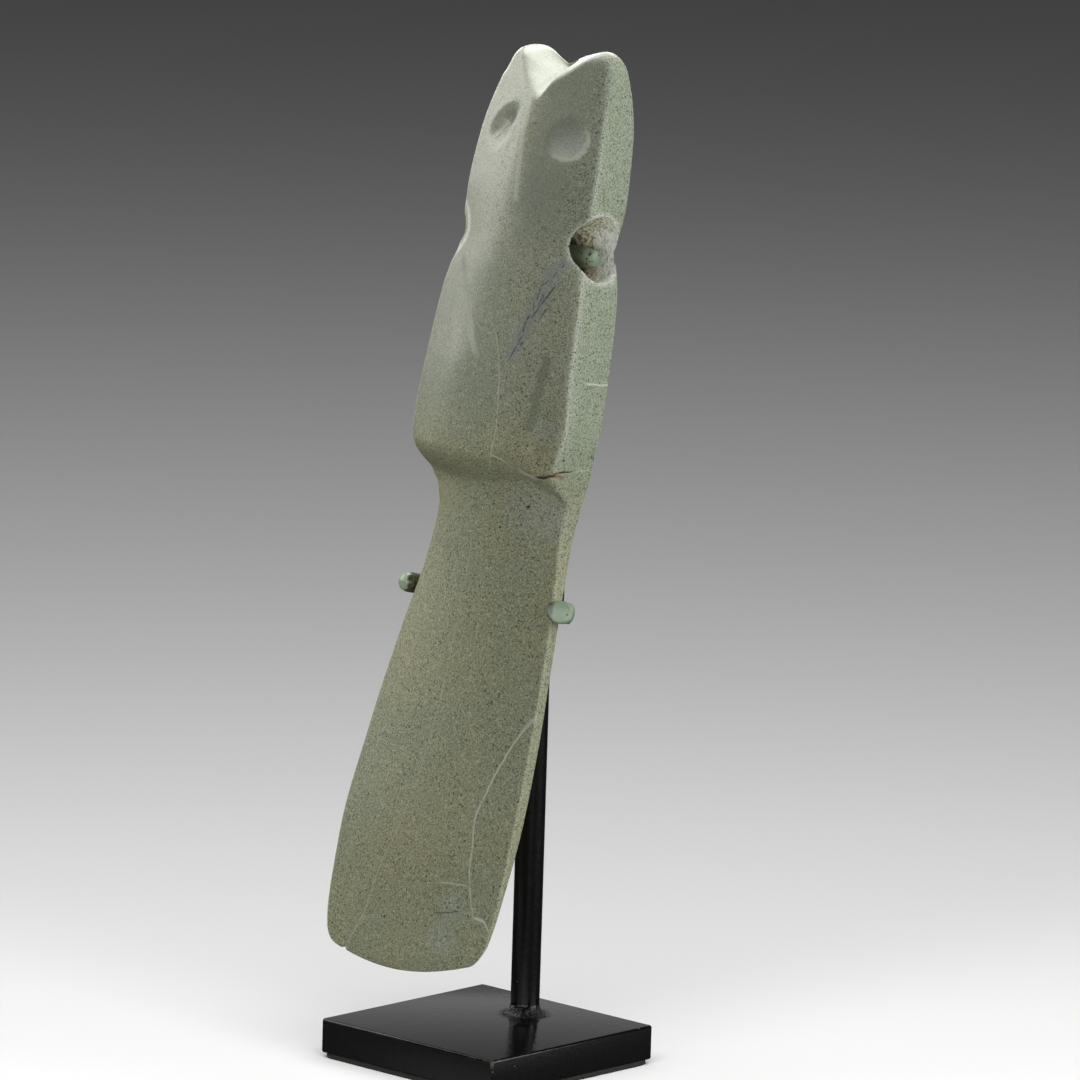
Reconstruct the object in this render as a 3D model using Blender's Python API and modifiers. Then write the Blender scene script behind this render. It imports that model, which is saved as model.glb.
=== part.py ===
"""Carved jade axe pendant with a bird's head, standing on its bent-wire display stand.

Lengths are written in millimetres and multiplied by MM where Blender takes metres.
World frame: origin at the centre of the stand's underside, +Z up, the carving faces -Y.
Carving frame (u, v, t): u across, v up along the leaning stone from the stand's top face,
t out of its face, with t = 0 on the axis of the suspension bore.
"""
import bisect
import math

import bmesh
import bpy
from mathutils import Matrix, Vector

MM = 0.001
GAP = 0.3                     # air between neighbouring pieces

# ---------------------------------------------------------------- stand
PLATE_SIDE = 38.1
PLATE_THICK = 5.7
PLATE_EDGE_ROUND = 0.35
PAD_THICK = 0.5
PAD_INSET = 0.8
POST_RADIUS = 2.38
POST_BACK = 8.85              # post's axis behind the plate's centre
POST_HEIGHT = 96.0            # above the plate
WELD_RADIUS = 3.5
WELD_HEIGHT = 2.6
WIRE_RADIUS = 1.65
STAND_TOP = PAD_THICK + GAP + PLATE_THICK

# ---------------------------------------------------------------- carving, placing
LEAN = math.radians(13.5)     # the stone leans back
AXIS_FORWARD = 23.2           # where the carving's v axis meets the stand's top, ahead of centre

# ---------------------------------------------------------------- carving, outline
BIT_LOW = 12.0                # v of the lowest point of the cutting edge
BIT_ARCH = 2.2                # how much higher the edge's two corners are
BIT_SKEW = 0.6                # the right corner is higher than the left one
BIT_HALF = 13.6
BIT_CORNER = 4.4
BIT_ROWS_TOP = 19.0           # the rows are level from here up
BIT_BEVEL = 9.0               # height over which the blade thins to its edge
BIT_DEPTH = 1.1               # t of the cutting edge
CREST_HALF = {-1: 8.6, 1: 9.0}
CREST_CORNER = {-1: 4.2, 1: 4.2}
CREST_ROWS_FOOT = 152.0       # the rows follow the crest from here up
CREST_ROUND = 2.4
CREST_DEPTH = 0.9
# u: v of the two-lobed crest
CREST = {
    -8.6: 162.0,
    -7.0: 162.4,
    -5.5: 162.2,
    -4.3: 161.7,
    -3.2: 161.1,
    -2.0: 160.45,
    -1.0: 160.05,
    0.0: 160.35,
    1.3: 160.95,
    2.9: 161.65,
    4.3: 162.05,
    5.7: 162.4,
    7.6: 162.65,
    9.0: 162.1,
}
THIN_EDGE = 0.08              # part of the full thickness left at the bit and the crest

# v: half-width, back edge t
OUTLINE = {
    17.0: (17.3, 0.7),
    20.0: (17.85, 0.4),
    24.0: (18.25, 0.0),
    35.0: (18.6, -1.1),
    50.0: (17.75, -2.5),
    65.0: (16.3, -3.5),
    78.0: (14.7, -4.9),
    85.0: (14.1, -5.4),
    90.0: (14.5, -5.5),
    95.0: (15.8, -5.0),
    101.0: (16.6, -4.3),
    112.0: (16.0, -4.4),
    122.0: (15.2, -4.1),
    127.0: (14.4, -4.0),
    131.0: (13.8, -4.1),
    140.0: (13.7, -3.5),
    150.0: (13.0, -3.1),
    155.0: (12.4, -2.3),
    159.0: (11.9, -1.0),
    163.0: (11.5, 0.2),
}
# v: how much further out the left (-1) and the right (1) edge lie
MORE = {
    -1: {
        33.0: 0.0,
        44.0: -0.2,
        70.0: -0.2,
        87.0: -0.4,
        88.7: 0.0,
        90.3: 0.45,
        91.7: 1.2,
        93.0: 0.45,
        94.5: 0.05,
        97.5: 0.25,
        105.0: 0.0,
        121.0: -0.15,
        125.2: -0.35,
        127.4: -0.6,
        130.2: -0.1,
        133.0: 0.25,
        137.0: 0.3,
        153.0: 0.25,
        156.2: 0.0,
        157.9: -0.6,
        159.5: -0.9,
    },
    1: {
        66.0: 0.0,
        80.0: -0.2,
        93.4: -0.3,
        98.2: -0.4,
        102.0: -0.2,
        125.0: -0.1,
        138.0: -0.25,
        148.0: -0.43,
        154.4: -0.57,
        158.0: -0.7,
    },
}
# v: t of the blade's front edge, t of its middle
BLADE_FACE = {
    20.0: (1.15, 1.7),
    35.0: (0.8, 2.9),
    50.0: (-0.3, 2.3),
    65.0: (-1.55, 1.5),
    78.0: (-2.5, 1.1),
    90.0: (-2.5, 2.1),
    100.0: (-1.2, 3.4),
}
# v: t of the body's front edge, t of its middle, sharpness of the section (1 roof, 3 flat)
BODY_FACE = {
    88.0: (3.0, 6.6, 2.6),
    95.0: (3.9, 7.6, 2.6),
    101.0: (4.3, 8.0, 2.4),
    112.0: (5.0, 8.6, 2.2),
    125.0: (5.0, 8.9, 1.9),
    131.0: (4.3, 9.0, 1.6),
    140.0: (4.9, 9.1, 1.3),
    147.0: (4.8, 8.7, 1.2),
    154.0: (4.3, 7.6, 1.2),
    163.0: (3.8, 6.6, 1.3),
}
# u: v of the crease under the body's lower lip
LIP_FOOT = {-14.0: 92.2, -6.0: 91.7, 0.0: 91.7, 5.0: 92.3, 9.0: 92.5, 12.0: 91.6, 14.3: 90.2}
LIP_ROUND = 4.0               # height over which the lip rounds out to the body
BEAK_ROUND = 1.1              # rounding of the ridge down the face
# v: how far to the right the ridge lies
BEAK_AT = {110.0: 0.0, 126.0: 1.2, 138.7: 0.8, 151.0: -0.8, 155.0: -0.5, 163.0: 0.0}
TROUGH_AT = 0.74              # hollow beside each edge of the body, as a part of the half-width
TROUGH_WIDE = 0.2
TROUGH_DEEP = 0.9
TROUGH_V = (97.0, 113.0)
PANEL_RISE = 0.8              # the head's panel above the folded wings
PANEL_EDGE = 3.0
PANEL_FOOT = (0.0, 112.0)     # (u, v) of the panel's edge at its foot
PANEL_SHOULDER = (13.0, 129.5)
NOTCH_FRONT = 153.9           # v of the notch's front end, on the ridge
NOTCH_FRONT_T = 7.3
NOTCH_FALL = 1.207            # how fast its floor falls back
# u: how far the notch's walls have risen; the right wall is the steeper
NOTCH_WALL = {
    -13.0: 14.6,
    -9.0: 7.8,
    -6.0: 4.5,
    -3.7: 2.4,
    -1.6: 0.9,
    0.0: 0.05,
    1.9: 2.75,
    4.0: 4.1,
    6.7: 6.0,
    9.0: 7.6,
    13.0: 12.0,
}
EDGE_CHAMFER = 0.35
BACK_CROWN = 0.9

# ---------------------------------------------------------------- carving, holes
BORE_V = 129.6                # throat of the bore
BORE_CLIMB = 0.12             # each half of the bore climbs toward its mouth
BORE_FORWARD = 0.08           # and comes forward
# distance from the middle: radius of the drilled hole
BORE_WALL = {
    0.0: 2.1,
    2.0: 2.3,
    4.0: 2.75,
    6.0: 3.35,
    8.0: 4.05,
    10.4: 4.75,
    12.3: 5.2,
    13.8: 5.4,
    17.0: 5.8,
}
# centre (u, v), radii of the hollow's rim across and along, slant, depth
EYES = {
    "left": ((-6.6, 149.0), (2.4, 3.9), -42.0, 1.3),
    "right": ((7.4, 147.3), (3.3, 3.2), 0.0, 0.8),
}
EYE_DISH = 0.45               # centre of the hollow's ellipsoid above the face, as a part of its depth radius
CHIP = (-12.4, 13.1, 0.7)     # (u, v, radius) of the chip in the bit

# ---------------------------------------------------------------- wires
CLAW_V = 73.3
CLAW_REACH = {-1: 1.2, 1: 2.9}     # how far each claw's tip stands in front of the blade's edge
CLAW_FILED = 1.1                   # depth filed off the outer bends
CLAW_BEND = 2.3
CLAW_TUCK = 0.5                    # the arms leave the bends slantwise, so they sit this much closer
FILE_SIDE = 8.0
ARM_HALF = 3.2                     # half of the straight stretch across the post
PEG_V = 129.75
PEG_END = 12.2
PEG_BEND = 3.0
PEG_SIDE = 16.1
PEG_TIP = 0.5
PEG_BEHIND = 15.6                  # how far behind the plate's centre the wire crosses the back
PEG_WIRE_LOW = 66.0
PEG_WIRE_LEAN_FROM = 97.0
DOME_STEPS = 5


# ---------------------------------------------------------------- curves through a few stations
def through(stations, column):
    """Smooth curve (monotone between stations) through one column of a station table."""
    keys = sorted(stations)
    values = [stations[k][column] if isinstance(stations[k], tuple) else stations[k] for k in keys]
    steps = [(values[i + 1] - values[i]) / (keys[i + 1] - keys[i]) for i in range(len(keys) - 1)]
    slopes = [steps[0]]
    for before, after in zip(steps, steps[1:]):
        level = before * after <= 0
        slopes.append(0.0 if level else 2 * before * after / (before + after))
    slopes.append(steps[-1])

    def curve(v):
        v = min(max(v, keys[0]), keys[-1])
        i = min(max(bisect.bisect_right(keys, v) - 1, 0), len(keys) - 2)
        span = keys[i + 1] - keys[i]
        f = (v - keys[i]) / span
        rise = values[i + 1] - values[i]
        a = slopes[i] * span
        b = slopes[i + 1] * span
        return values[i] + f * (a + f * (3 * rise - 2 * a - b + f * (a + b - 2 * rise)))

    return curve


def smooth(low, high, value):
    f = min(max((value - low) / (high - low), 0.0), 1.0)
    return f * f * (3 - 2 * f)


def quarter(f):
    """Rises from 0 to 1 as a quarter of a circle does."""
    f = min(max(f, 0.0), 1.0)
    return math.sqrt(1 - (1 - f) ** 2)


def bump(value, centre, width):
    return math.exp(-((value - centre) / width) ** 2)


plain_half_width = through(OUTLINE, 0)
more = {side: through(MORE[side], 0) for side in MORE}
back_edge = through(OUTLINE, 1)
blade_side = through(BLADE_FACE, 0)
blade_middle = through(BLADE_FACE, 1)
body_side = through(BODY_FACE, 0)
body_middle = through(BODY_FACE, 1)
body_power = through(BODY_FACE, 2)
bore_wall = through(BORE_WALL, 0)
lip_foot = through(LIP_FOOT, 0)
notch_wall = through(NOTCH_WALL, 0)
crest = through(CREST, 0)
beak_at = through(BEAK_AT, 0)


def half_width(v, u=1.0):
    """Half-width of the stone at v, on the side of u."""
    return plain_half_width(v) + more[-1 if u < 0 else 1](v)


def lip_blend(u, v):
    """0 on the blade, 1 on the body."""
    return quarter((v - lip_foot(u)) / LIP_ROUND)


def front_edge(v):
    f = lip_blend(half_width(v), v)
    return blade_side(v) * (1 - f) + body_side(v) * f


def front(u, v):
    """t of the carved face."""
    width = half_width(v, u)
    x = min(abs(u) / width, 1.0)
    off = u - beak_at(v)
    room = width - math.copysign(1.0, off) * beak_at(v)
    ridge = (math.hypot(off, BEAK_ROUND) - BEAK_ROUND) / (math.hypot(room, BEAK_ROUND) - BEAK_ROUND)
    blade = blade_side(v) + (blade_middle(v) - blade_side(v)) * (1 - x * x)
    body = body_side(v) + (body_middle(v) - body_side(v)) * (1 - min(ridge, 1.0) ** body_power(v))

    foot_u, foot_v = PANEL_FOOT
    shoulder_u, shoulder_v = PANEL_SHOULDER
    along = (v - foot_v) / (shoulder_v - foot_v)
    edge_u = foot_u + (shoulder_u - foot_u) * max(along, 0.0) ** 1.15
    wing = smooth(-PANEL_EDGE / 2, PANEL_EDGE / 2, abs(u) - edge_u) * (1 - x ** 4)
    body -= PANEL_RISE * smooth(0.0, 0.5, along) * (1 - smooth(0.9, 1.1, along)) * wing

    low, high = TROUGH_V
    reach = smooth(low - 4, low + 3, v) * (1 - smooth(high - 6, high + 6, v))
    body -= TROUGH_DEEP * reach * bump(x, TROUGH_AT, TROUGH_WIDE)

    f = lip_blend(u, v)
    face = blade * (1 - f) + body * f
    notch = NOTCH_FRONT_T + notch_wall(u) - NOTCH_FALL * (v - NOTCH_FRONT)
    return min(face, notch)


def back(u, v):
    """t of the plain back."""
    x = min(abs(u) / half_width(v, u), 1.0)
    thin = smooth(BIT_LOW, BIT_LOW + 30, v) * (1 - 0.7 * smooth(150, 160, v))
    return back_edge(v) - BACK_CROWN * thin * (1 - x * x)


# ---------------------------------------------------------------- rows of the carving
def bit_line(x):
    return BIT_LOW + BIT_ARCH * x * x + BIT_SKEW * x


def crest_line(x):
    return crest(x * CREST_HALF[-1 if x < 0 else 1])


BIT_ROWS = (0.0, 0.03, 0.11, 0.24, 0.42, 0.66)
CREST_ROWS = (0.88, 0.72, 0.57, 0.43, 0.31, 0.2, 0.11, 0.05, 0.015, 0.0)
PLAIN_ROWS = [21 + 4.2 * i for i in range(16)]
PLAIN_ROWS += [87.5 + 0.9 * i for i in range(10)]
PLAIN_ROWS += [98.6 + 2.7 * i for i in range(19)]
COLUMNS = 20


def row(kind, height):
    """Outline width to the left and right of the middle, and v of each column."""
    columns = [-1 + 2 * i / COLUMNS for i in range(COLUMNS + 1)]
    if kind == "bit":
        vs = [bit_line(x) * (1 - height) + BIT_ROWS_TOP * height for x in columns]
        halves = []
        for end in (0, -1):
            above = vs[end] - bit_line(columns[end])
            full = half_width(vs[end], columns[end])
            halves.append(BIT_HALF + (full - BIT_HALF) * quarter(above / BIT_CORNER))
        return halves, columns, vs
    if kind == "crest":
        vs = [crest_line(x) * (1 - height) + CREST_ROWS_FOOT * height for x in columns]
        halves = []
        for end, side in ((0, -1), (-1, 1)):
            below = crest_line(columns[end]) - vs[end]
            full = half_width(vs[end], side)
            halves.append(CREST_HALF[side] + (full - CREST_HALF[side]) * quarter(below / CREST_CORNER[side]))
        return halves, columns, vs
    return [half_width(height, side) for side in (-1, 1)], columns, [height] * len(columns)


def thickness_left(v, x):
    above_bit = v - bit_line(x)
    below_crest = crest_line(x) - v
    bit = THIN_EDGE + (1 - THIN_EDGE) * quarter(above_bit / BIT_BEVEL)
    crest = THIN_EDGE + (1 - THIN_EDGE) * quarter(below_crest / CREST_ROUND)
    return bit, crest


def thinned(t, v, x):
    bit, crest = thickness_left(v, x)
    t = BIT_DEPTH + (t - BIT_DEPTH) * bit
    return CREST_DEPTH + (t - CREST_DEPTH) * crest


def section(kind, height):
    """One closed ring of (u, v, t): the face from left to right, then the back from right to left."""
    halves, columns, vs = row(kind, height)
    face = []
    rear = []
    for x, v in zip(columns, vs):
        full = x * half_width(v, x)
        u = x * (halves[0] if x < 0 else halves[1])
        face.append((u, v, thinned(front(full, v), v, x)))
        rear.append((u, v, thinned(back(full, v), v, x)))
    sides = []
    for end, outward in ((0, -1), (-1, 1)):
        u, v, high = face[end]
        low = rear[end][2]
        cut = min(EDGE_CHAMFER, 0.25 * (high - low))
        face[end] = (u - outward * cut, v, high)
        rear[end] = (u - outward * cut, v, low)
        sides.append([(u, v, high - cut), (u, v, low + cut)])
    left, right = sides
    return left[:1] + face + right + rear[::-1] + left[1:]


# ---------------------------------------------------------------- mesh helpers
def collection(name):
    made = bpy.data.collections.new(name)
    bpy.context.scene.collection.children.link(made)
    return made


def material(name, colour, roughness, metallic=0.0):
    made = bpy.data.materials.new(name)
    made.use_nodes = True
    shader = made.node_tree.nodes["Principled BSDF"]
    shader.inputs["Base Color"].default_value = (*colour, 1.0)
    shader.inputs["Roughness"].default_value = roughness
    shader.inputs["Metallic"].default_value = metallic
    made.diffuse_color = (*colour, 1.0)
    return made


def finish(obj, group, look=None, smooth_angle=35.0):
    for old in obj.users_collection:
        old.objects.unlink(obj)
    group.objects.link(obj)
    if look is not None:
        obj.data.materials.clear()
        obj.data.materials.append(look)
        obj.data.shade_smooth()
        obj.data.set_sharp_from_angle(angle=math.radians(smooth_angle))
    return obj


def cutter(obj, group):
    finish(obj, group)
    obj.hide_render = True
    obj.display_type = "WIRE"
    return obj


def cut(obj, tool):
    modifier = obj.modifiers.new("cut_" + tool.name, "BOOLEAN")
    modifier.operation = "DIFFERENCE"
    modifier.solver = "EXACT"
    modifier.object = tool


def loft(name, rings):
    """Closed solid through rings of points with the same number of points each."""
    bm = bmesh.new()
    lines = [[bm.verts.new(Vector(p) * MM) for p in ring] for ring in rings]
    count = len(rings[0])
    for lower, upper in zip(lines, lines[1:]):
        for i in range(count):
            j = (i + 1) % count
            bm.faces.new((lower[i], lower[j], upper[j], upper[i]))
    return bm, lines


def ladder_cap(bm, ring):
    """Closes a thin ring whose first half faces its second half."""
    last = len(ring) - 1
    for i in range(len(ring) // 2 - 1):
        bm.faces.new((ring[i], ring[i + 1], ring[last - i - 1], ring[last - i]))


def to_object(name, bm):
    bmesh.ops.recalc_face_normals(bm, faces=bm.faces)
    mesh = bpy.data.meshes.new(name)
    bm.to_mesh(mesh)
    bm.free()
    return bpy.data.objects.new(name, mesh)


def meshed(curve_object):
    """A curve turned into a closed mesh that can be cut."""
    bpy.context.view_layer.update()
    graph = bpy.context.evaluated_depsgraph_get()
    mesh = bpy.data.meshes.new_from_object(curve_object.evaluated_get(graph))
    bm = bmesh.new()
    bm.from_mesh(mesh)
    bmesh.ops.remove_doubles(bm, verts=bm.verts, dist=1e-6)
    bm.to_mesh(mesh)
    bm.free()
    made = bpy.data.objects.new(curve_object.name + "_mesh", mesh)
    made.matrix_world = curve_object.matrix_world
    name = curve_object.name
    bpy.data.objects.remove(curve_object)
    made.name = name
    return made


# ---------------------------------------------------------------- carving frame
def carving_frame():
    """Empty that carries (u, v, t) as its x, z and -y."""
    frame = bpy.data.objects.new("carving_frame", None)
    frame.location = Vector((0, -AXIS_FORWARD, STAND_TOP)) * MM
    frame.rotation_euler = (-LEAN, 0, 0)
    bpy.context.scene.collection.objects.link(frame)
    return frame


def local(u, v, t):
    return Vector((u, -t, v))


def world(u, v, t):
    """World place, in millimetres, of a point of the carving."""
    turned = Matrix.Rotation(-LEAN, 3, "X") @ local(u, v, t)
    return turned + Vector((0, -AXIS_FORWARD, STAND_TOP))


# ---------------------------------------------------------------- the stone
def bore_cutter():
    """Hourglass drilled from both sides, each half sloping down to the throat."""
    rings = []
    steps = 14
    sides = 28
    reach = max(BORE_WALL)
    turn = [2 * math.pi * k / sides for k in range(sides)]
    for i in range(-steps, steps + 1):
        u = reach * i / steps
        radius = bore_wall(abs(u))
        v = BORE_V + BORE_CLIMB * abs(u)
        t = BORE_FORWARD * abs(u)
        rings.append([local(u, v + radius * math.cos(a), t + radius * math.sin(a)) for a in turn])
    bm, lines = loft("bore_cutter", rings)
    bm.faces.new(lines[0])
    bm.faces.new(lines[-1])
    return to_object("bore_cutter", bm)


def eye_cutter(name):
    (u, v), (across, along), slant, depth = EYES[name]
    deep = depth / (1 - EYE_DISH)
    wider = 1 / math.sqrt(1 - EYE_DISH ** 2)
    bpy.ops.mesh.primitive_uv_sphere_add(segments=20, ring_count=12, radius=MM)
    obj = bpy.context.object
    obj.name = "eye_cutter_" + name
    obj.location = local(u, v, front(u, v) + deep * EYE_DISH) * MM
    obj.rotation_euler = (0, math.radians(slant), 0)
    obj.scale = (across * wider, deep, along * wider)
    return obj


def chip_cutter():
    u, v, radius = CHIP
    bpy.ops.mesh.primitive_ico_sphere_add(subdivisions=2, radius=radius * MM)
    obj = bpy.context.object
    obj.name = "chip_cutter"
    obj.location = local(u, v - radius * 0.35, BIT_DEPTH) * MM
    return obj


def pendant(group, tools, frame, look):
    order = [("bit", h) for h in BIT_ROWS]
    order += [("plain", h) for h in PLAIN_ROWS]
    order += [("crest", h) for h in CREST_ROWS]
    rings = [[local(*p) for p in section(kind, height)] for kind, height in order]
    bm, lines = loft("jade_pendant", rings)
    ladder_cap(bm, lines[0])
    ladder_cap(bm, lines[-1])
    stone = to_object("jade_pendant", bm)
    finish(stone, group, look)
    stone.parent = frame
    tools_made = [bore_cutter(), eye_cutter("left"), eye_cutter("right"), chip_cutter()]
    for tool in tools_made:
        cutter(tool, tools)
        tool.parent = frame
        cut(stone, tool)
    return stone


# ---------------------------------------------------------------- the stand
def plate(group, look):
    bpy.ops.mesh.primitive_cube_add(size=1.0)
    obj = bpy.context.object
    obj.name = "stand_base"
    obj.scale = (PLATE_SIDE * MM, PLATE_SIDE * MM, PLATE_THICK * MM)
    bpy.ops.object.transform_apply(location=False, rotation=False, scale=True)
    obj.location = (0, 0, (STAND_TOP - PLATE_THICK / 2) * MM)
    bevel = obj.modifiers.new("softened_edges", "BEVEL")
    bevel.width = PLATE_EDGE_ROUND * MM
    bevel.segments = 2
    return finish(obj, group, look)


def pad(group, look):
    bpy.ops.mesh.primitive_cube_add(size=1.0)
    obj = bpy.context.object
    obj.name = "base_pad"
    side = (PLATE_SIDE - 2 * PAD_INSET) * MM
    obj.scale = (side, side, PAD_THICK * MM)
    bpy.ops.object.transform_apply(location=False, rotation=False, scale=True)
    obj.location = (0, 0, PAD_THICK / 2 * MM)
    return finish(obj, group, look)


def post(group, look):
    """Turned profile, top to bottom: domed top, straight post, concave weld bead."""
    profile = [(0.0, POST_HEIGHT)]
    for i in range(1, DOME_STEPS + 1):
        a = math.pi / 2 * i / DOME_STEPS
        profile.append((POST_RADIUS * math.sin(a), POST_HEIGHT - 0.6 * (1 - math.cos(a))))
    for i in range(DOME_STEPS + 1):
        a = math.pi / 2 * i / DOME_STEPS
        flare = WELD_RADIUS - POST_RADIUS
        profile.append((WELD_RADIUS - flare * math.cos(a), WELD_HEIGHT * (1 - math.sin(a)) + GAP))
    profile.append((0.0, GAP))
    mesh = bpy.data.meshes.new("stand_post")
    points = [Vector((r, 0, z)) * MM for r, z in profile]
    mesh.from_pydata(points, [(i, i + 1) for i in range(len(points) - 1)], [])
    obj = bpy.data.objects.new("stand_post", mesh)
    obj.location = Vector((0, POST_BACK, STAND_TOP)) * MM
    group.objects.link(obj)
    screw = obj.modifiers.new("turned", "SCREW")
    screw.steps = 24
    screw.render_steps = 24
    screw.use_merge_vertices = True
    screw.merge_threshold = 0.00001
    mesh.materials.append(look)
    return obj


def rounded_route(corners, radius, steps=5):
    """Points along a bent wire: straight runs joined by arcs of one radius."""
    points = [corners[0]]
    for before, corner, after in zip(corners, corners[1:], corners[2:]):
        into = (corner - before).normalized()
        out = (after - corner).normalized()
        angle = into.angle(out)
        reach = radius * math.tan(angle / 2)
        start = corner - into * reach
        centre = start + (out - into * into.dot(out)).normalized() * radius
        for i in range(steps + 1):
            turn = angle * i / steps
            side = (start - centre)
            points.append(centre + side * math.cos(turn) + into * radius * math.sin(turn))
    points.append(corners[-1])
    return points


def wire(name, points, domes, group):
    """Round wire along points in millimetres; domes gives the height of the rounding of an end."""
    taper = [1.0] * len(points)
    points = list(points)
    for end, height in domes.items():
        order = (0, 1) if end == 0 else (-1, -2)
        tip = points[order[0]]
        inward = (points[order[1]] - tip).normalized()
        rim = tip + inward * height
        dome = []
        for i in range(DOME_STEPS):
            a = math.pi / 2 * (i + 0.35) / DOME_STEPS
            dome.append((rim - inward * height * math.cos(a), math.sin(a)))
        if end == 0:
            points = [p for p, _ in dome] + [rim] + points[1:]
            taper = [r for _, r in dome] + [1.0] + taper[1:]
        else:
            points = points[:-1] + [rim] + [p for p, _ in dome[::-1]]
            taper = taper[:-1] + [1.0] + [r for _, r in dome[::-1]]
    data = bpy.data.curves.new(name, "CURVE")
    data.dimensions = "3D"
    data.bevel_depth = WIRE_RADIUS * MM
    data.bevel_resolution = 3
    data.use_fill_caps = True
    spline = data.splines.new("POLY")
    spline.points.add(len(points) - 1)
    for point, place, r in zip(spline.points, points, taper):
        point.co = (*(place * MM), 1.0)
        point.radius = r
    obj = bpy.data.objects.new(name, data)
    group.objects.link(obj)
    return meshed(obj)


def claw_wire(group, tools, look):
    """Bent wire: across the front of the post, out behind the blade, round both of its edges."""
    beside = plain_half_width(CLAW_V) + GAP + WIRE_RADIUS
    behind = back_edge(CLAW_V) - GAP - WIRE_RADIUS + CLAW_TUCK
    post_front = POST_BACK - POST_RADIUS - GAP - WIRE_RADIUS
    at_post = (world(0, CLAW_V, 0).y - post_front) / math.cos(LEAN)
    corners = []
    for side in (-1, 1):
        arm = [
            world(side * beside, CLAW_V, front_edge(CLAW_V) + CLAW_REACH[side]),
            world(side * beside, CLAW_V, behind),
            world(side * ARM_HALF, CLAW_V, at_post),
        ]
        corners += arm if side < 0 else arm[::-1]
    obj = wire("claw_wire", rounded_route(corners, CLAW_BEND), {0: WIRE_RADIUS, 1: WIRE_RADIUS}, group)
    finish(obj, group, look)
    for side in (-1, 1):
        bpy.ops.mesh.primitive_cube_add(size=FILE_SIDE * MM)
        file_flat = bpy.context.object
        file_flat.name = "file_flat_" + ("left" if side < 0 else "right")
        outward = Vector((side, 0, 0)) + (world(0, 0, -1) - world(0, 0, 0))
        outward.normalize()
        corner = world(side * beside, CLAW_V, behind)
        reach = WIRE_RADIUS - CLAW_FILED - (math.sqrt(2) - 1) * CLAW_BEND
        file_flat.location = (corner + outward * (reach + FILE_SIDE / 2)) * MM
        file_flat.rotation_euler = outward.to_track_quat("X", "Z").to_euler()
        cutter(file_flat, tools)
        cut(obj, file_flat)
    return obj


def peg_wire(group, look):
    """Bent wire: up behind the post, across the back to the left, round the side, into the bore."""
    peg = world(0, PEG_V, 0)
    up = POST_BACK + POST_RADIUS + GAP + WIRE_RADIUS
    corners = [
        Vector((0, up, STAND_TOP + PEG_WIRE_LOW)),
        Vector((0, up, STAND_TOP + PEG_WIRE_LEAN_FROM)),
        Vector((0, PEG_BEHIND, peg.z)),
        Vector((-PEG_SIDE, PEG_BEHIND, peg.z)),
        Vector((-PEG_SIDE, peg.y, peg.z)),
        Vector((PEG_END, peg.y, peg.z)),
    ]
    obj = wire("peg_wire", rounded_route(corners, PEG_BEND), {1: PEG_TIP}, group)
    return finish(obj, group, look)


def main():
    for obj in list(bpy.data.objects):
        bpy.data.objects.remove(obj, do_unlink=True)
    group = collection("jade_axe_pendant")
    tools = collection("cutters")
    jade = material("speckled_jade", (0.33, 0.35, 0.25), 0.38)
    black = material("black_paint", (0.012, 0.012, 0.012), 0.3)
    green = material("green_paint", (0.22, 0.33, 0.22), 0.3)
    felt = material("dark_felt", (0.02, 0.02, 0.018), 0.95)
    frame = carving_frame()
    pendant(group, tools, frame, jade)
    plate(group, black)
    pad(group, felt)
    post(group, black)
    claw_wire(group, tools, green)
    peg_wire(group, green)


main()
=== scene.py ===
"""Looks of the carved jade axe pendant on its bent-wire display stand.

Lengths are in millimetres and multiplied by MM where Blender takes metres. The carving's own frame
is (u, v, t): u across, v up along the leaning stone from the stand's top face, t out of its face,
with t = 0 on the axis of the suspension bore. As object coordinates they are x = u, z = v, y = -t.
Where a table has the sides -1 and 1, they are the left and the right.
"""

import functools
import math

import bmesh
import bpy
import numpy as np
from mathutils import Matrix, Vector, noise

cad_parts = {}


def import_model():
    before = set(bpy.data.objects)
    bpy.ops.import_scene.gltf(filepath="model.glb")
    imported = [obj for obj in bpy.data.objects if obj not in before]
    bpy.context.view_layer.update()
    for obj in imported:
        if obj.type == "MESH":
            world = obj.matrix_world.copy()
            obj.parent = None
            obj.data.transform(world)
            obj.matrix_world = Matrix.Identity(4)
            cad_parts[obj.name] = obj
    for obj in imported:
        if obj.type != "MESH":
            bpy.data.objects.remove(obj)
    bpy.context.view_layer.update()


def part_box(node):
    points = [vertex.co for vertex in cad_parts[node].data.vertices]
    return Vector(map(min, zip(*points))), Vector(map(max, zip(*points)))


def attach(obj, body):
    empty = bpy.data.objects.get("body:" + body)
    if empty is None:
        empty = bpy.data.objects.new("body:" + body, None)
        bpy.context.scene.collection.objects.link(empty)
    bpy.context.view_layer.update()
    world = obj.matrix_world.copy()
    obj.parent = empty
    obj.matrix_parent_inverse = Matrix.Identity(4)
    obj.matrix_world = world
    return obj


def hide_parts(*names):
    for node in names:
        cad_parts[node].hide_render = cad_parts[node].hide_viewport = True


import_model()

MM = 0.001
BASE_LOW, BASE_HIGH = [Vector(c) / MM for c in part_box("stand_base")]
POST_TOP = Vector(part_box("stand_post")[1]).z / MM
PAD_LOW = Vector(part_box("base_pad")[0]).z / MM
STAND_TOP = BASE_HIGH.z

# ---------------------------------------------------------------- carving
LEAN = math.radians(13.5)
AXIS_FORWARD = 23.2           # how far the carving's frame starts in front of the stand's middle

# the bit: rounded bottom of the blade
BIT_LOW, BIT_ARCH, BIT_SKEW = 12.0, 2.2, 0.6
BIT_HALF, BIT_CORNER = 13.6, 4.4
BIT_ROWS_TOP = 19.0
BIT_BEVEL, BIT_DEPTH = 9.0, 1.1
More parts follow.
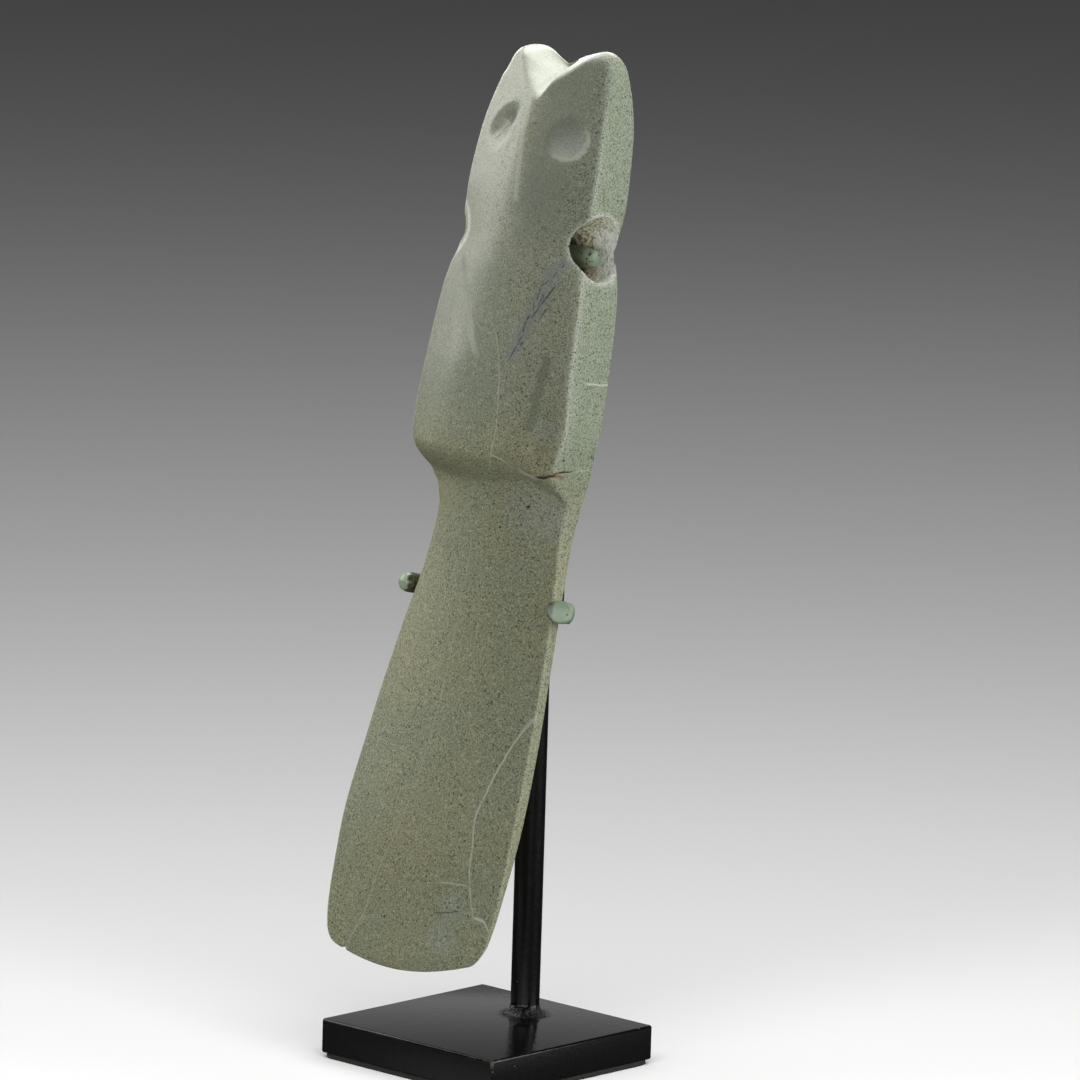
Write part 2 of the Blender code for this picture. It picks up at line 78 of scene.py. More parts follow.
# the crest: two-lobed top of the head
CREST_HALF = {-1: 8.6, 1: 9.0}
CREST_CORNER = 4.2
CREST_ROWS_FOOT = 152.0
CREST_ROUND, CREST_DEPTH = 2.4, 0.9
THIN_EDGE = 0.06              # share of the thickness left at the rims of the bit and the crest
# u: v of the crest
CREST = {
    -8.6: 162.0, -7.0: 162.4, -5.5: 162.2, -4.3: 161.7, -3.2: 161.1, -2.0: 160.45, -1.0: 160.05,
    0.0: 160.35, 1.3: 160.95, 2.9: 161.65, 4.3: 162.05, 5.7: 162.4, 7.6: 162.65, 9.0: 162.1,
}
# v: half-width, back edge t
OUTLINE = {
    17.0: (17.3, 0.7), 20.0: (17.85, 0.4), 24.0: (18.25, 0.0), 35.0: (18.6, -1.1),
    50.0: (17.75, -2.5), 65.0: (16.3, -3.5), 78.0: (14.7, -4.9), 85.0: (14.1, -5.4),
    90.0: (14.5, -5.5), 95.0: (15.8, -5.0), 101.0: (16.6, -4.3), 112.0: (16.0, -4.4),
    122.0: (15.2, -4.1), 127.0: (14.4, -4.0), 131.0: (13.8, -4.1), 140.0: (13.7, -3.5),
    150.0: (13.0, -3.1), 155.0: (12.4, -2.3), 159.0: (11.9, -1.0), 163.0: (11.5, 0.2),
}
# v: how much further out the left and the right edge lie
MORE = {
    -1: {
        33.0: 0.0, 44.0: -0.2, 56.0: -0.15, 70.0: -0.2, 77.0: -0.35, 87.0: -0.4, 88.7: 0.0,
        90.3: 0.45, 91.7: 1.2, 93.0: 0.45, 94.5: 0.05, 97.5: 0.25, 105.0: 0.0, 110.0: -0.2,
        121.0: -0.15, 125.2: -0.35, 127.4: -0.6, 130.2: -0.1, 133.0: 0.25, 137.0: 0.3,
        153.0: 0.25, 156.2: 0.0, 157.9: -0.6, 159.5: -0.9,
    },
    1: {
        66.0: 0.0, 80.0: -0.2, 88.0: -0.15, 93.4: -0.3, 98.2: -0.4, 102.0: -0.2, 125.0: -0.1,
        138.0: -0.25, 148.0: -0.43, 154.4: -0.57, 158.0: -0.7,
    },
}
# the worn dip in the right rear edge beside the bore: v, reach, depth; t and u over which it grows
REAR_DIP = (132.0, 4.0, 1.25)
REAR_DIP_T, REAR_DIP_U = (1.5, -3.5), (8.0, 13.5)
# v: t of the blade's front edge, t of its middle
BLADE_FACE = {
    20.0: (1.15, 1.7), 35.0: (0.8, 2.9), 50.0: (-0.3, 2.3), 65.0: (-1.55, 1.5), 78.0: (-2.5, 1.1),
    90.0: (-2.5, 2.1), 100.0: (-1.2, 3.4),
}
# v: t of the body's front edge, t of its middle, sharpness of the section (1 roof, 3 flat)
BODY_FACE = {
    88.0: (3.0, 6.6, 2.6), 95.0: (3.9, 7.6, 2.6), 101.0: (4.3, 8.0, 2.4), 112.0: (5.0, 8.6, 2.2),
    125.0: (5.0, 8.9, 1.9), 131.0: (4.3, 9.0, 1.6), 140.0: (4.9, 9.1, 1.3), 147.0: (4.8, 8.7, 1.2),
    154.0: (4.3, 7.6, 1.2), 163.0: (3.8, 6.6, 1.3),
}
# u: v of the crease under the body's lower lip
LIP_FOOT = {-14.0: 92.2, -6.0: 91.7, 0.0: 91.7, 5.0: 92.3, 9.0: 92.5, 12.0: 91.6, 14.3: 90.2}
LIP_ROUND = 4.6
LIP_POWER = 2.2               # how much steeper the lip's underside is near the crease
LIP_CREASE = 1.0              # softness of the crease
# v: softness of the ridge down the middle, and how far to the right it lies
BEAK_ROUND = {110.0: 1.8, 128.0: 1.8, 140.0: 1.3, 151.0: 0.8, 163.0: 0.5}
BEAK_AT = {110.0: 0.0, 126.0: 1.2, 138.7: 0.8, 151.0: -0.8, 155.0: -0.5, 163.0: 0.0}
# side: place across (share of the half-width), width, depth, lowest and highest v
TROUGHS = {-1: (0.72, 0.2, 0.4, 97.0, 113.0), 1: (0.81, 0.125, 1.45, 98.0, 107.0)}
TROUGH_GROWS, TROUGH_ENDS = (-5, 2), (-6, 8)   # about its lowest and its highest v
PANEL_RISE = {-1: 0.32, 1: 0.2}
PANEL_EDGE = 2.2
PANEL_FROM, PANEL_TO = (108, 118), (126, 132)
# side: v of the head panel's slanting edge and how far out it runs there
PANEL_EDGE_AT = {
    -1: {
        109.0: 0.8, 111.1: 1.8, 113.4: 3.1, 115.7: 4.2, 118.0: 5.2, 120.4: 6.5, 122.7: 8.0,
        125.1: 9.3, 127.5: 11.3, 131.0: 15.0,
    },
    1: {111.0: 5.6, 115.0: 6.6, 118.5: 8.1, 121.0: 9.3, 124.0: 10.9, 127.0: 12.5, 131.0: 15.0},
}
# the notch in the crest: v and t where its floor meets the face, fall of the floor, soft rims
NOTCH_FRONT, NOTCH_FRONT_T = 153.9, 7.3
NOTCH_FALL = 1.207
NOTCH_SOFT = {-1: 1.9, 1: 0.7}
NOTCH_SOFTENS = (0.5, -4.0)   # u from and to which the right rim gives way to the left one
# u: rise of the notch's wall
NOTCH_WALL = {
    -13.0: 14.6, -9.0: 7.8, -6.0: 4.5, -3.7: 2.4, -1.6: 0.9, 0.0: 0.05, 1.9: 2.75, 4.0: 4.1,
    6.7: 6.0, 9.0: 7.6, 13.0: 12.0,
}
# worn front edges, pale also as painted highlight: v where blade wear yields to body wear; reach
# and share on each
WORN_AND_LIT_FROM = (92, 100)
WORN_AND_LIT_REACH, WORN_AND_LIT_SHARE = (0.24, 0.5), (0.75, 1.0)
BACK_CROWN = 0.9              # how much thicker the back is in the middle
# v over which the crown grows above the bit, and over which it loses a share towards the crest
CROWN_GROWS, CROWN_THINS, CROWN_LOSS = (BIT_LOW, BIT_LOW + 30), (150, 160), 0.7
# v: radius of the rounded front edges
EDGE_ROUND = {
    12.0: 0.35, 80.0: 0.4, 95.0: 0.9, 100.0: 0.5, 124.0: 0.5, 134.0: 0.55, 148.0: 0.55, 156.0: 1.6,
    163.0: 2.2,
}
BACK_EDGE_ROUND = 0.45
EDGE_SHARE = 0.32             # most of the thickness that one rounded edge may take
HOLLOW_BOWL = 0.35            # how much shallower a hollow is at its rim
# centre (u, v), radii across and along, slant in degrees, depth, softness of the rim
EYE_HOLLOWS = (
    ((-6.6, 149.5), (1.9, 3.8), -52.0, 1.15, 0.7),
    ((-7.0, 147.9), (3.0, 3.8), -30.0, 0.65, 0.5),
    ((7.4, 147.4), (3.5, 3.5), 12.0, 0.65, 0.35),
)
# the groove beside the beak's ridge: u, v, half-width, half-length, depth
BEAK_GROOVE = (-2.9, 147.0, 1.1, 5.0, 0.25)

# the bore runs across at v = BORE_V, climbing and coming forward a little towards both mouths
BORE_V = 129.6
BORE_CLIMB, BORE_FORWARD = 0.12, 0.08
# distance from the middle: radius
BORE_WALL = {
    0.0: 2.1, 2.0: 2.3, 4.0: 2.75, 6.0: 3.35, 8.0: 4.05, 10.4: 4.75, 12.3: 5.2, 13.8: 5.4,
    17.0: 5.8,
}
BORE_GRAIN, BORE_LUMPS = 0.11, 0.12   # fine and broad relief of the drilled wall
BORE_RIM = 0.45               # reach of the worn rim, painted pale also as its highlight
BORE_NARROW = (6, 12, 0.2)    # where the left mouth begins and ends to be narrower, and its share
CHIP = (-12.4, 13.1, 0.75)    # u, v and radius of the chip in the bit
CHIP_LUMPS, CHIP_DROP = 0.25, 0.35   # its relief, and how far it lies below v, in radii

# rows and columns of the meshes; the second numbers are the distance between rows
BIT_ROWS, CREST_ROWS = 14, 34
BIT_CROWDING, CREST_CROWDING = 2, 1.6   # powers that bring rows together at the rims
BIT_ROWS_SHARE = 0.98         # of the way from the bit to BIT_ROWS_TOP
BLADE_ROWS, BLADE_ROW = 170, 0.42
LIP_ROWS, LIP_ROW = 60, 0.3
BODY_ROW = 0.4
FACE_COLUMNS, BACK_COLUMNS = 92, 36
EDGE_STEPS, SIDE_STEPS = 5, 4
BORE_RINGS, BORE_SIDES = 96, 96
POST_SIDES, POST_RINGS, WELD_RINGS, WIRE_SIDES = 64, 40, 16, 32

# ---------------------------------------------------------------- stand
WIRE_RADIUS = 1.65
GAP = 0.3                     # air between the stone and the wires
CLAW_V = 73.3
CLAW_REACH = {-1: 1.2, 1: 2.9}
CLAW_FILED, FILED_SOFT, CLAW_CROWN = 1.1, 0.6, 0.2   # depth, soft edge and crown of the filed bends
CLAW_BEND = 2.3
CLAW_TUCK = 0.5               # how far the bends come forward behind the blade's thin edges
CLAW_SLANT = 36.0             # the right claw's end is cut slantwise
CLAW_CUT = 1.3                # how far back the cut begins
CLAW_SWELL = 0.28             # and spread a little by the blow
CLAW_SWELL_FROM = (4.5, 1.5)  # where the swelling begins and is full, from the end
CLAW_DOMES = {0: 1.6, 1: 0.4}  # height of the rounding at the left and the right end
CLAW_RIM = 0.4                # softness of the cut's rim
ARM_HALF = 3.2
POST_RADIUS, POST_BACK, POST_ROUND = 2.38, 8.85, 0.6
POST_TURN = (0.3, 1.45, 6)    # first and last angle and count of the rings at its rounded top
WELD_HEIGHT, WELD_REACH = 2.0, 1.35
PLATE_BEVEL = 0.4
PAD_SIDES, PAD_MARGIN, PAD_FUZZ, PAD_POWER = 220, 0.14, 0.14, 26
# height and inset of the pad's rim
PAD_RIM = ((PAD_LOW, 0.15), (0.2, 0.0), (0.5, 0.05), (BASE_LOW.z + 0.02, 0.2))
PEG_V = 129.75
PEG_AXIS_Z = PEG_V * math.cos(LEAN) + STAND_TOP
PEG_END, PEG_END_RADIUS, PEG_TAPER, PEG_TIP = 12.2, 1.4, 3.2, 0.3
PEG_BEND = 3.0
PEG_SIDE, PEG_BEHIND = 16.1, 15.6
PEG_WIRE_LOW, PEG_WIRE_LEAN_FROM = 66.0, 97.0
WIRE_SPACING = 0.35
WIRE_LUMPS = 0.02
SUNK = 0.05                   # how deep the wires sit in the post


# ---------------------------------------------------------------- curves through a few stations
def through(stations, column=0):
    """Smooth vectorised curve (monotone between stations) through one column of a station table."""
    keys = np.array(sorted(stations))
    rows = [stations[k] for k in keys]
    values = np.array([row[column] if isinstance(row, tuple) else row for row in rows], dtype=float)
    steps = np.diff(values) / np.diff(keys)
    slopes = [steps[0]]
    for before, after in zip(steps, steps[1:]):
        slopes.append(0.0 if before * after <= 0 else 2 * before * after / (before + after))
    slopes = np.array(slopes + [steps[-1]])

    def curve(v):
        v = np.clip(v, keys[0], keys[-1])
        i = np.clip(np.searchsorted(keys, v, side="right") - 1, 0, len(keys) - 2)
        span = keys[i + 1] - keys[i]
        f = (v - keys[i]) / span
        rise = values[i + 1] - values[i]
        a = slopes[i] * span
        b = slopes[i + 1] * span
        return values[i] + f * (a + f * (3 * rise - 2 * a - b + f * (a + b - 2 * rise)))

    return curve


plain_half_width, back_edge = through(OUTLINE, 0), through(OUTLINE, 1)
left_more, right_more = through(MORE[-1]), through(MORE[1])
blade_side, blade_middle = through(BLADE_FACE, 0), through(BLADE_FACE, 1)
body_side, body_middle, body_power = [through(BODY_FACE, column) for column in range(3)]
bore_wall = through(BORE_WALL)
lip_foot = through(LIP_FOOT)
notch_wall = through(NOTCH_WALL)
panel_left, panel_right = through(PANEL_EDGE_AT[-1]), through(PANEL_EDGE_AT[1])
edge_round = through(EDGE_ROUND)
beak_round, beak_at = through(BEAK_ROUND), through(BEAK_AT)
crest = through(CREST)


def half_width(v, u=1.0):
    """Half-width of the stone at v, on the side of u."""
    return plain_half_width(v) + np.where(np.asarray(u) < 0, left_more(v), right_more(v))


def blend(a, b, f):
    return a + (b - a) * f


def smooth(low, high, value):
    f = np.clip((value - low) / (high - low), 0.0, 1.0)
    return f * f * (3 - 2 * f)


def quarter(f):
    """Rises from 0 to 1 as a quarter of a circle does."""
    return np.sqrt(1 - (1 - np.clip(f, 0.0, 1.0)) ** 2)


def soft_min(a, b, softness):
    h = np.clip(0.5 + 0.5 * (b - a) / softness, 0.0, 1.0)
    return b + (a - b) * h - softness * h * (1 - h)


def bump(value, centre, width):
    return np.exp(-((value - centre) / width) ** 2)


# ---------------------------------------------------------------- the carved face
def hollow(u, v, centre, radii, slant, depth, soft):
    """Depth of an oval hollow with a soft rim."""
    turn = math.radians(slant)
    du = u - centre[0]
    dv = v - centre[1]
    across = (du * math.cos(turn) + dv * math.sin(turn)) / radii[0]
    along = (dv * math.cos(turn) - du * math.sin(turn)) / radii[1]
    r = np.hypot(across, along)
    floor = 1 - HOLLOW_BOWL * np.clip(r, 0, 1) ** 2
    return depth * floor * (1 - smooth(1 - soft, 1 + soft * 0.5, r))


def lip_blend(u, v):
    """0 on the blade, 1 on the body."""
    above = (v - lip_foot(u)) / LIP_ROUND
    crease = LIP_CREASE / LIP_ROUND
    above = 0.5 * (above + np.sqrt(above ** 2 + crease ** 2 * 0.3))
    return 1 - (1 - np.clip(above, 0, 1)) ** LIP_POWER


def notch_height(u, v):
    """t of the notch's floor and walls."""
    return NOTCH_FRONT_T + notch_wall(u) - NOTCH_FALL * (v - NOTCH_FRONT)


def front(u, v):
    """t of the carved face."""
    width = half_width(v, u)
    x = np.minimum(np.abs(u) / width, 1.0)
    soft = beak_round(v)
    off = u - beak_at(v)
    room = width - np.sign(off) * beak_at(v)
    ridge = (np.hypot(off, soft) - soft) / (np.hypot(room, soft) - soft)
    blade = blend(blade_side(v), blade_middle(v), 1 - x * x)
    body = blend(body_side(v), body_middle(v), 1 - np.minimum(ridge, 1.0) ** body_power(v))

    left = u < 0
    edge_u = np.where(left, panel_left(v), panel_right(v))
    rise = np.where(left, PANEL_RISE[-1], PANEL_RISE[1])
    wing = smooth(-PANEL_EDGE / 2, PANEL_EDGE / 2, np.abs(u) - edge_u) * (1 - x ** 4)
    body = body - rise * smooth(*PANEL_FROM, v) * (1 - smooth(*PANEL_TO, v)) * wing

    for side, (at, wide, deep, low, high) in TROUGHS.items():
        grown = smooth(low + TROUGH_GROWS[0], low + TROUGH_GROWS[1], v)
        ended = smooth(high + TROUGH_ENDS[0], high + TROUGH_ENDS[1], v)
        reach = grown * (1 - ended)
        body = body - deep * reach * bump(u * side / width, at, wide)

    face = blend(blade, body, lip_blend(u, v))
    for eye in EYE_HOLLOWS:
        face = face - hollow(u, v, *eye)
    groove_u, groove_v, half, length, depth = BEAK_GROOVE
    face = face - depth * bump(u, groove_u, half) * bump(v, groove_v, length)
    softness = blend(NOTCH_SOFT[1], NOTCH_SOFT[-1], smooth(*NOTCH_SOFTENS, u))
    return soft_min(face, notch_height(u, v), softness)


def back(u, v):
    """t of the plain back, flatter towards the bit and the crest."""
    x = np.minimum(np.abs(u) / half_width(v, u), 1.0)
    grown = smooth(*CROWN_GROWS, v) * (1 - CROWN_LOSS * smooth(*CROWN_THINS, v))
    return back_edge(v) - BACK_CROWN * grown * (1 - x * x)


# ---------------------------------------------------------------- rows of the carving
def bit_line(x):
    return BIT_LOW + BIT_ARCH * x * x + BIT_SKEW * x


def crest_line(x):
    return crest(x * np.where(x < 0, CREST_HALF[-1], CREST_HALF[1]))


ENDS = np.array([-1.0, 1.0])
# the rim's line, v of the last row towards the middle, the corners' radius, half-widths at the rim
RIMS = {
    "bit": (bit_line, BIT_ROWS_TOP, BIT_CORNER, np.array([BIT_HALF, BIT_HALF])),
    "crest": (crest_line, CREST_ROWS_FOOT, CREST_CORNER, np.array([CREST_HALF[-1], CREST_HALF[1]])),
}


def outline(kind, height, x):
    """u and v of the points x (-1 to 1) of one row.

    height is the row's v, or between a rim (0) and its last row (1) for the kinds in RIMS.
    """
    if kind in RIMS:
        rim, last, corner, half = RIMS[kind]
        v = rim(x) * (1 - height) + last * height
        end_v = rim(ENDS) * (1 - height) + last * height
        halves = blend(half, half_width(end_v, ENDS), quarter(np.abs(end_v - rim(ENDS)) / corner))
    else:
        v = np.full_like(x, height)
        halves = half_width(np.full(2, height), ENDS)
    return x * np.where(x < 0, halves[0], halves[1]), v


def thinned(t, v, x):
    """t drawn in towards the rims of the bit and the crest."""
    bit = THIN_EDGE + (1 - THIN_EDGE) * quarter((v - bit_line(x)) / BIT_BEVEL)
    top = THIN_EDGE + (1 - THIN_EDGE) * quarter((crest_line(x) - v) / CREST_ROUND)
    return blend(CREST_DEPTH, blend(BIT_DEPTH, t, bit), top)


def section(kind, height):
    """One closed ring of (u, v, t): face left to right, right side, back leftwards, left side."""

    def point(x, surface):
        u, v = outline(kind, height, x)
        return u, v, thinned(surface(x * half_width(v, x), v), v, x)

    end_u, end_v, high = point(ENDS, front)
    low = point(ENDS, back)[2]
    thick = high - low
    rounding = np.minimum(edge_round(end_v), EDGE_SHARE * thick)
    back_rounding = np.minimum(BACK_EDGE_ROUND, EDGE_SHARE * thick)

    reach = 1 - rounding / np.abs(end_u)
    x = np.linspace(-reach[0], reach[1], FACE_COLUMNS + 1)
    face = np.stack(point(x, front), 1)
    reach = 1 - back_rounding / np.abs(end_u)
    x = np.linspace(reach[1], -reach[0], BACK_COLUMNS + 1)
    rear = np.stack(point(x, back), 1)

    def arc(a, corner, b):
        f = np.linspace(0, 1, EDGE_STEPS + 1)[1:-1, None]
        return a * (1 - f) ** 2 + corner * 2 * f * (1 - f) + b * f ** 2

    def side(i, from_face, from_rear):
        top = np.array([end_u[i], end_v[i], high[i]])
        foot = np.array([end_u[i], end_v[i], low[i]])
        upper = top - [0, 0, rounding[i]]
        lower = foot + [0, 0, back_rounding[i]]
        f = np.linspace(0, 1, SIDE_STEPS + 1)[:, None]
        flat = upper * (1 - f) + lower * f
        return np.concatenate([arc(from_face, top, upper), flat, arc(lower, foot, from_rear)])

    right = side(1, face[-1], rear[0])
    left = side(0, face[0], rear[-1])[::-1]
    ring = np.concatenate([face, right, rear, left])

    # the worn dip is on the right and at the back only
    at, reach, depth = REAR_DIP
    dip = depth * bump(ring[:, 1], at, reach)
    ring[:, 0] -= dip * smooth(*REAR_DIP_T, ring[:, 2]) * smooth(*REAR_DIP_U, ring[:, 0])
    return ring


def sections():
    """All rings from the bit to the crest, closer together at the rims and about the lip."""
    from_bit = [(i / BIT_ROWS) ** BIT_CROWDING * BIT_ROWS_SHARE for i in range(BIT_ROWS)]
    rings = [section("bit", f) for f in from_bit]
    heights = [BIT_ROWS_TOP + BLADE_ROW * i for i in range(BLADE_ROWS)]
    heights += [heights[-1] + LIP_ROW * (i + 1) for i in range(LIP_ROWS)]
    count = int((CREST_ROWS_FOOT - heights[-1]) / BODY_ROW)
    heights += list(np.linspace(heights[-1], CREST_ROWS_FOOT, count + 1)[1:])
    rings += [section("plain", h) for h in heights]
    to_crest = [(1 - (i + 1) / CREST_ROWS) ** CREST_CROWDING for i in range(CREST_ROWS)]
    rings += [section("crest", f) for f in to_crest]
    return rings


def direction(u, v, t):
    """World direction of a direction in the carving's frame."""
    return Matrix.Rotation(-LEAN, 3, "X") @ Vector((u, -t, v))


def world(u, v, t):
    """World place, in millimetres, of a point of the carving."""
    return direction(u, v, t) + Vector((0, -AXIS_FORWARD, STAND_TOP))


def uvt(points):
    """Carving coordinates of an array of world points, all in millimetres."""
    y = points[:, 1] + AXIS_FORWARD
    z = points[:, 2] - STAND_TOP
    c, s = math.cos(LEAN), math.sin(LEAN)
    return points[:, 0], y * s + z * c, z * s - y * c


# ---------------------------------------------------------------- mesh helpers
def link(obj):
    bpy.context.scene.collection.objects.link(obj)
    return obj


def new_object(name, verts, faces, looks):
    mesh = bpy.data.meshes.new(name)
    mesh.from_pydata([tuple(v) for v in verts], [], faces)
    for look in looks:
        mesh.materials.append(look)
    return link(bpy.data.objects.new(name, mesh))


def from_bmesh(name, bm, *looks):
    """Turns a bmesh into an object and frees it."""
    obj = new_object(name, [], [], looks)
    bm.to_mesh(obj.data)
    bm.free()
    return obj


def bevel(bm, edges, reach):
    """Rounds edges of a bmesh."""
    bmesh.ops.bevel(bm, geom=edges, offset=reach * MM, segments=4, profile=0.5, affect="EDGES")


def smooth_shaded(obj, angle):
    obj.data.shade_smooth()
    obj.data.set_sharp_from_angle(angle=math.radians(angle))


def turns(count, shift=0.0):
    """Cosines and sines of evenly spaced angles round a circle."""
    angles = [2 * math.pi * (i + shift) / count for i in range(count)]
    return [(math.cos(a), math.sin(a)) for a in angles]


def seam(ring, right, left):
    """Triangles that close a thin ring, zipped between its two long sides."""
    count = len(ring)
    over = [(left + i) % count for i in range((right - left) % count + 1)]
    under = [(left - i) % count for i in range((left - right) % count + 1)]
    faces = []
    i = j = 0
    while i < len(over) - 1 or j < len(under) - 1:
        above = ring[over[i + 1]][0] if i < len(over) - 1 else math.inf
        below = ring[under[j + 1]][0] if j < len(under) - 1 else math.inf
        if above <= below:
            faces.append((over[i], over[i + 1], under[j]))
            i += 1
        else:
            faces.append((over[i], under[j + 1], under[j]))
            j += 1
    return [face for face in faces if len(set(face)) == 3]


def loft(name, rings, looks, sides=None):
    """Closed mesh through rings with equal counts of points, capped at both ends.

    sides gives the middle points of a thin ring's right and left side.
    """
    count = len(rings[0])
    verts = [p for ring in rings for p in ring]
    faces = []
    for a in range(0, len(verts) - count, count):
        for i in range(count):
            j = (i + 1) % count
            faces.append((a + i, a + j, a + count + j, a + count + i))
    last = len(verts) - count
    if sides:
        faces += seam(rings[0], *sides)
        faces += [tuple(i + last for i in face) for face in seam(rings[-1], *sides)]
    else:
        faces.append(tuple(range(count))[::-1])
        faces.append(tuple(range(last, len(verts))))
    obj = new_object(name, verts, faces, looks)
    bm = bmesh.new()
    bm.from_mesh(obj.data)
    bmesh.ops.recalc_face_normals(bm, faces=bm.faces)
    bm.to_mesh(obj.data)
    bm.free()
    return obj


def cut_away(obj, tool):
    """Cuts the tool's shape out of an object and removes the tool."""
    modifier = obj.modifiers.new("cut", "BOOLEAN")
    modifier.operation = "DIFFERENCE"
    modifier.solver = "EXACT"
    modifier.material_mode = "TRANSFER"
    modifier.object = tool
    graph = bpy.context.evaluated_depsgraph_get()
    mesh = bpy.data.meshes.new_from_object(obj.evaluated_get(graph))
    old = obj.data
    obj.modifiers.clear()
    obj.data = mesh
    bpy.data.meshes.remove(old)
    bpy.data.objects.remove(tool)


# ---------------------------------------------------------------- shader helpers
class Value:
    """One output of a shader node, so that sums and products are written as usual.

    a | b is the greater of two masks.
    """

    def __init__(self, nodes, node, output):
        self.nodes = nodes
        self.node = node
        self.socket = node.outputs[output]

    def other(self, output):
        """Another output of the same node."""
        return Value(self.nodes, self.node, output)

    def by(operation):
        return lambda self, *other: self.nodes.math(operation, self, *other)

    __add__, __sub__, __mul__ = by("ADD"), by("SUBTRACT"), by("MULTIPLY")
    __or__, __abs__ = by("MAXIMUM"), by("ABSOLUTE")

    def __rsub__(self, other):
        return self.nodes.math("SUBTRACT", other, self)

    def __neg__(self):
        return self * -1.0


class Nodes:
    """Builds a material; its colour is laid down in layers."""

    def __init__(self, name, carved=False):
        self.material = bpy.data.materials.new(name)
        self.material.use_nodes = True
        self.tree = self.material.node_tree
        self.shader = self.tree.nodes["Principled BSDF"]
        self.colour = None
        # object coordinates in millimetres, in the carving's frame if carved
        inputs = {"Vector": self.add("ShaderNodeTexCoord", {}, "Object"), "Scale": (MM, MM, MM)}
        if carved:
            inputs["Location"] = (0, -AXIS_FORWARD * MM, STAND_TOP * MM)
            inputs["Rotation"] = (-LEAN, 0, 0)
        self.place = self.add("ShaderNodeMapping", inputs, vector_type="TEXTURE")
        self.x = self.add("ShaderNodeSeparateXYZ", {0: self.place})
        self.y, self.z = self.x.other(1), self.x.other(2)
        if carved:
            self.u, self.v, self.t = self.x, self.z, -self.y

    def add(self, kind, inputs, output=0, **settings):
        """One output of a new node, whose inputs are given by name or number."""
        node = self.tree.nodes.new(kind)
        for key, value in settings.items():
            setattr(node, key, value)
        for key, value in inputs.items():
            self.put(node.inputs[key], value)
        return Value(self, node, output)

    def put(self, socket, value):
        if isinstance(value, Value):
            self.tree.links.new(value.socket, socket)
        elif socket.type == "RGBA":
            socket.default_value = (*value, 1.0)
        else:
            socket.default_value = value

    def math(self, operation, a, b=0.0, clamp=False):
        return self.add("ShaderNodeMath", {0: a, 1: b}, operation=operation, use_clamp=clamp)

    def mix(self, factor, a, b):
        return self.add("ShaderNodeMix", {0: factor, 6: a, 7: b}, 2, data_type="RGBA")

    def mixf(self, factor, a, b):
        return self.add("ShaderNodeMix", {0: factor, 2: a, 3: b})

    def lay(self, mask, colour):
        """Lays a colour over the material's colour; the mask is often a place times a strength."""
        self.colour = self.mix(mask, self.colour, colour)

    def step(self, value, low, high):
        """Smooth step from 0 at low to 1 at high."""
        inputs = {"Value": value, "From Min": low, "From Max": high}
        return self.add("ShaderNodeMapRange", inputs, interpolation_type="SMOOTHSTEP")

    def fall(self, value, low, high):
        """Smooth step from 1 at low to 0 at high."""
        return 1.0 - self.step(value, low, high)

    def apart(self, a, b, spot):
        """Distance of (a, b) from a spot."""
        da, db = a - spot[0], b - spot[1]
        return self.math("SQRT", da * da + db * db)

    def stroke(self, a, b, start, end, width):
        """1 on a straight stroke between two points, fading out sideways and at its ends."""
        length = math.dist(start, end)
        da, db = (end[0] - start[0]) / length, (end[1] - start[1]) / length
        a, b = a - start[0], b - start[1]
        along = a * da + b * db
        mask = self.fall(abs(a * db - b * da), width * 0.3, width) * self.step(along, -0.2, 0.5)
        return mask * self.fall(along, length - 0.5, length + 0.2)

    def strokes(self, a, b, table):
        """1 on each stroke of a table of (start, end, half-width)."""
        return functools.reduce(Value.__or__, [self.stroke(a, b, *row) for row in table])

    def mark(self, name):
        """A number kept on the mesh's points."""
        return self.add("ShaderNodeAttribute", {}, "Fac", attribute_name=name)

    def noise(self, vector, scale, detail=2.0, rough=0.5, distortion=0.0, output=0):
        inputs = {"Scale": scale, "Detail": detail, "Roughness": rough, "Distortion": distortion}
        return self.add("ShaderNodeTexNoise", {"Vector": vector, **inputs}, output)

    def cells(self, vector, scale):
        """Distance to a random cell's middle, in cells, and two random numbers of that cell."""
        distance = self.add("ShaderNodeTexVoronoi", {"Vector": vector, "Scale": scale}, "Distance")
        pick = self.add("ShaderNodeSeparateColor", {0: distance.other("Color")})
        return distance, pick, pick.other(1)

    def curve(self, value, points):
        """Value mapped through given points (value, result)."""
        xs, ys = zip(*sorted(points))
        low, high = xs[0], xs[-1]
        bottom, top = min(ys) - 1.0, max(ys) + 1.0
        unit = self.add("ShaderNodeMapRange", {"Value": value, "From Min": low, "From Max": high})
        curved = self.add("ShaderNodeFloatCurve", {"Value": unit})
        line = curved.node.mapping.curves[0]
        spots = [((x - low) / (high - low), (y - bottom) / (top - bottom)) for x, y in zip(xs, ys)]
        line.points[0].location, line.points[1].location = spots[0], spots[-1]
        for spot in spots[1:-1]:
            line.points.new(*spot)
        for point in line.points:
            point.handle_type = "AUTO_CLAMPED"
        curved.node.mapping.update()
        return self.add("ShaderNodeMapRange", {"Value": curved, "To Min": bottom, "To Max": top})

    def bump(self, height, distance, strength=1.0, **over):
        """Normal for a height in millimetres, over another one given as Normal."""
        inputs = {"Strength": strength, "Distance": distance * MM, "Height": height}
        return self.add("ShaderNodeBump", {**inputs, **over})

    def finish(self, roughness, specular=0.5, **more):
        """Joins the colour and the rest to the shader and gives the material."""
        inputs = {"Base Color": self.colour, "Roughness": roughness, "Specular IOR Level": specular}
        for name, value in {**inputs, **more}.items():
            self.put(self.shader.inputs[name], value)
        return self.material


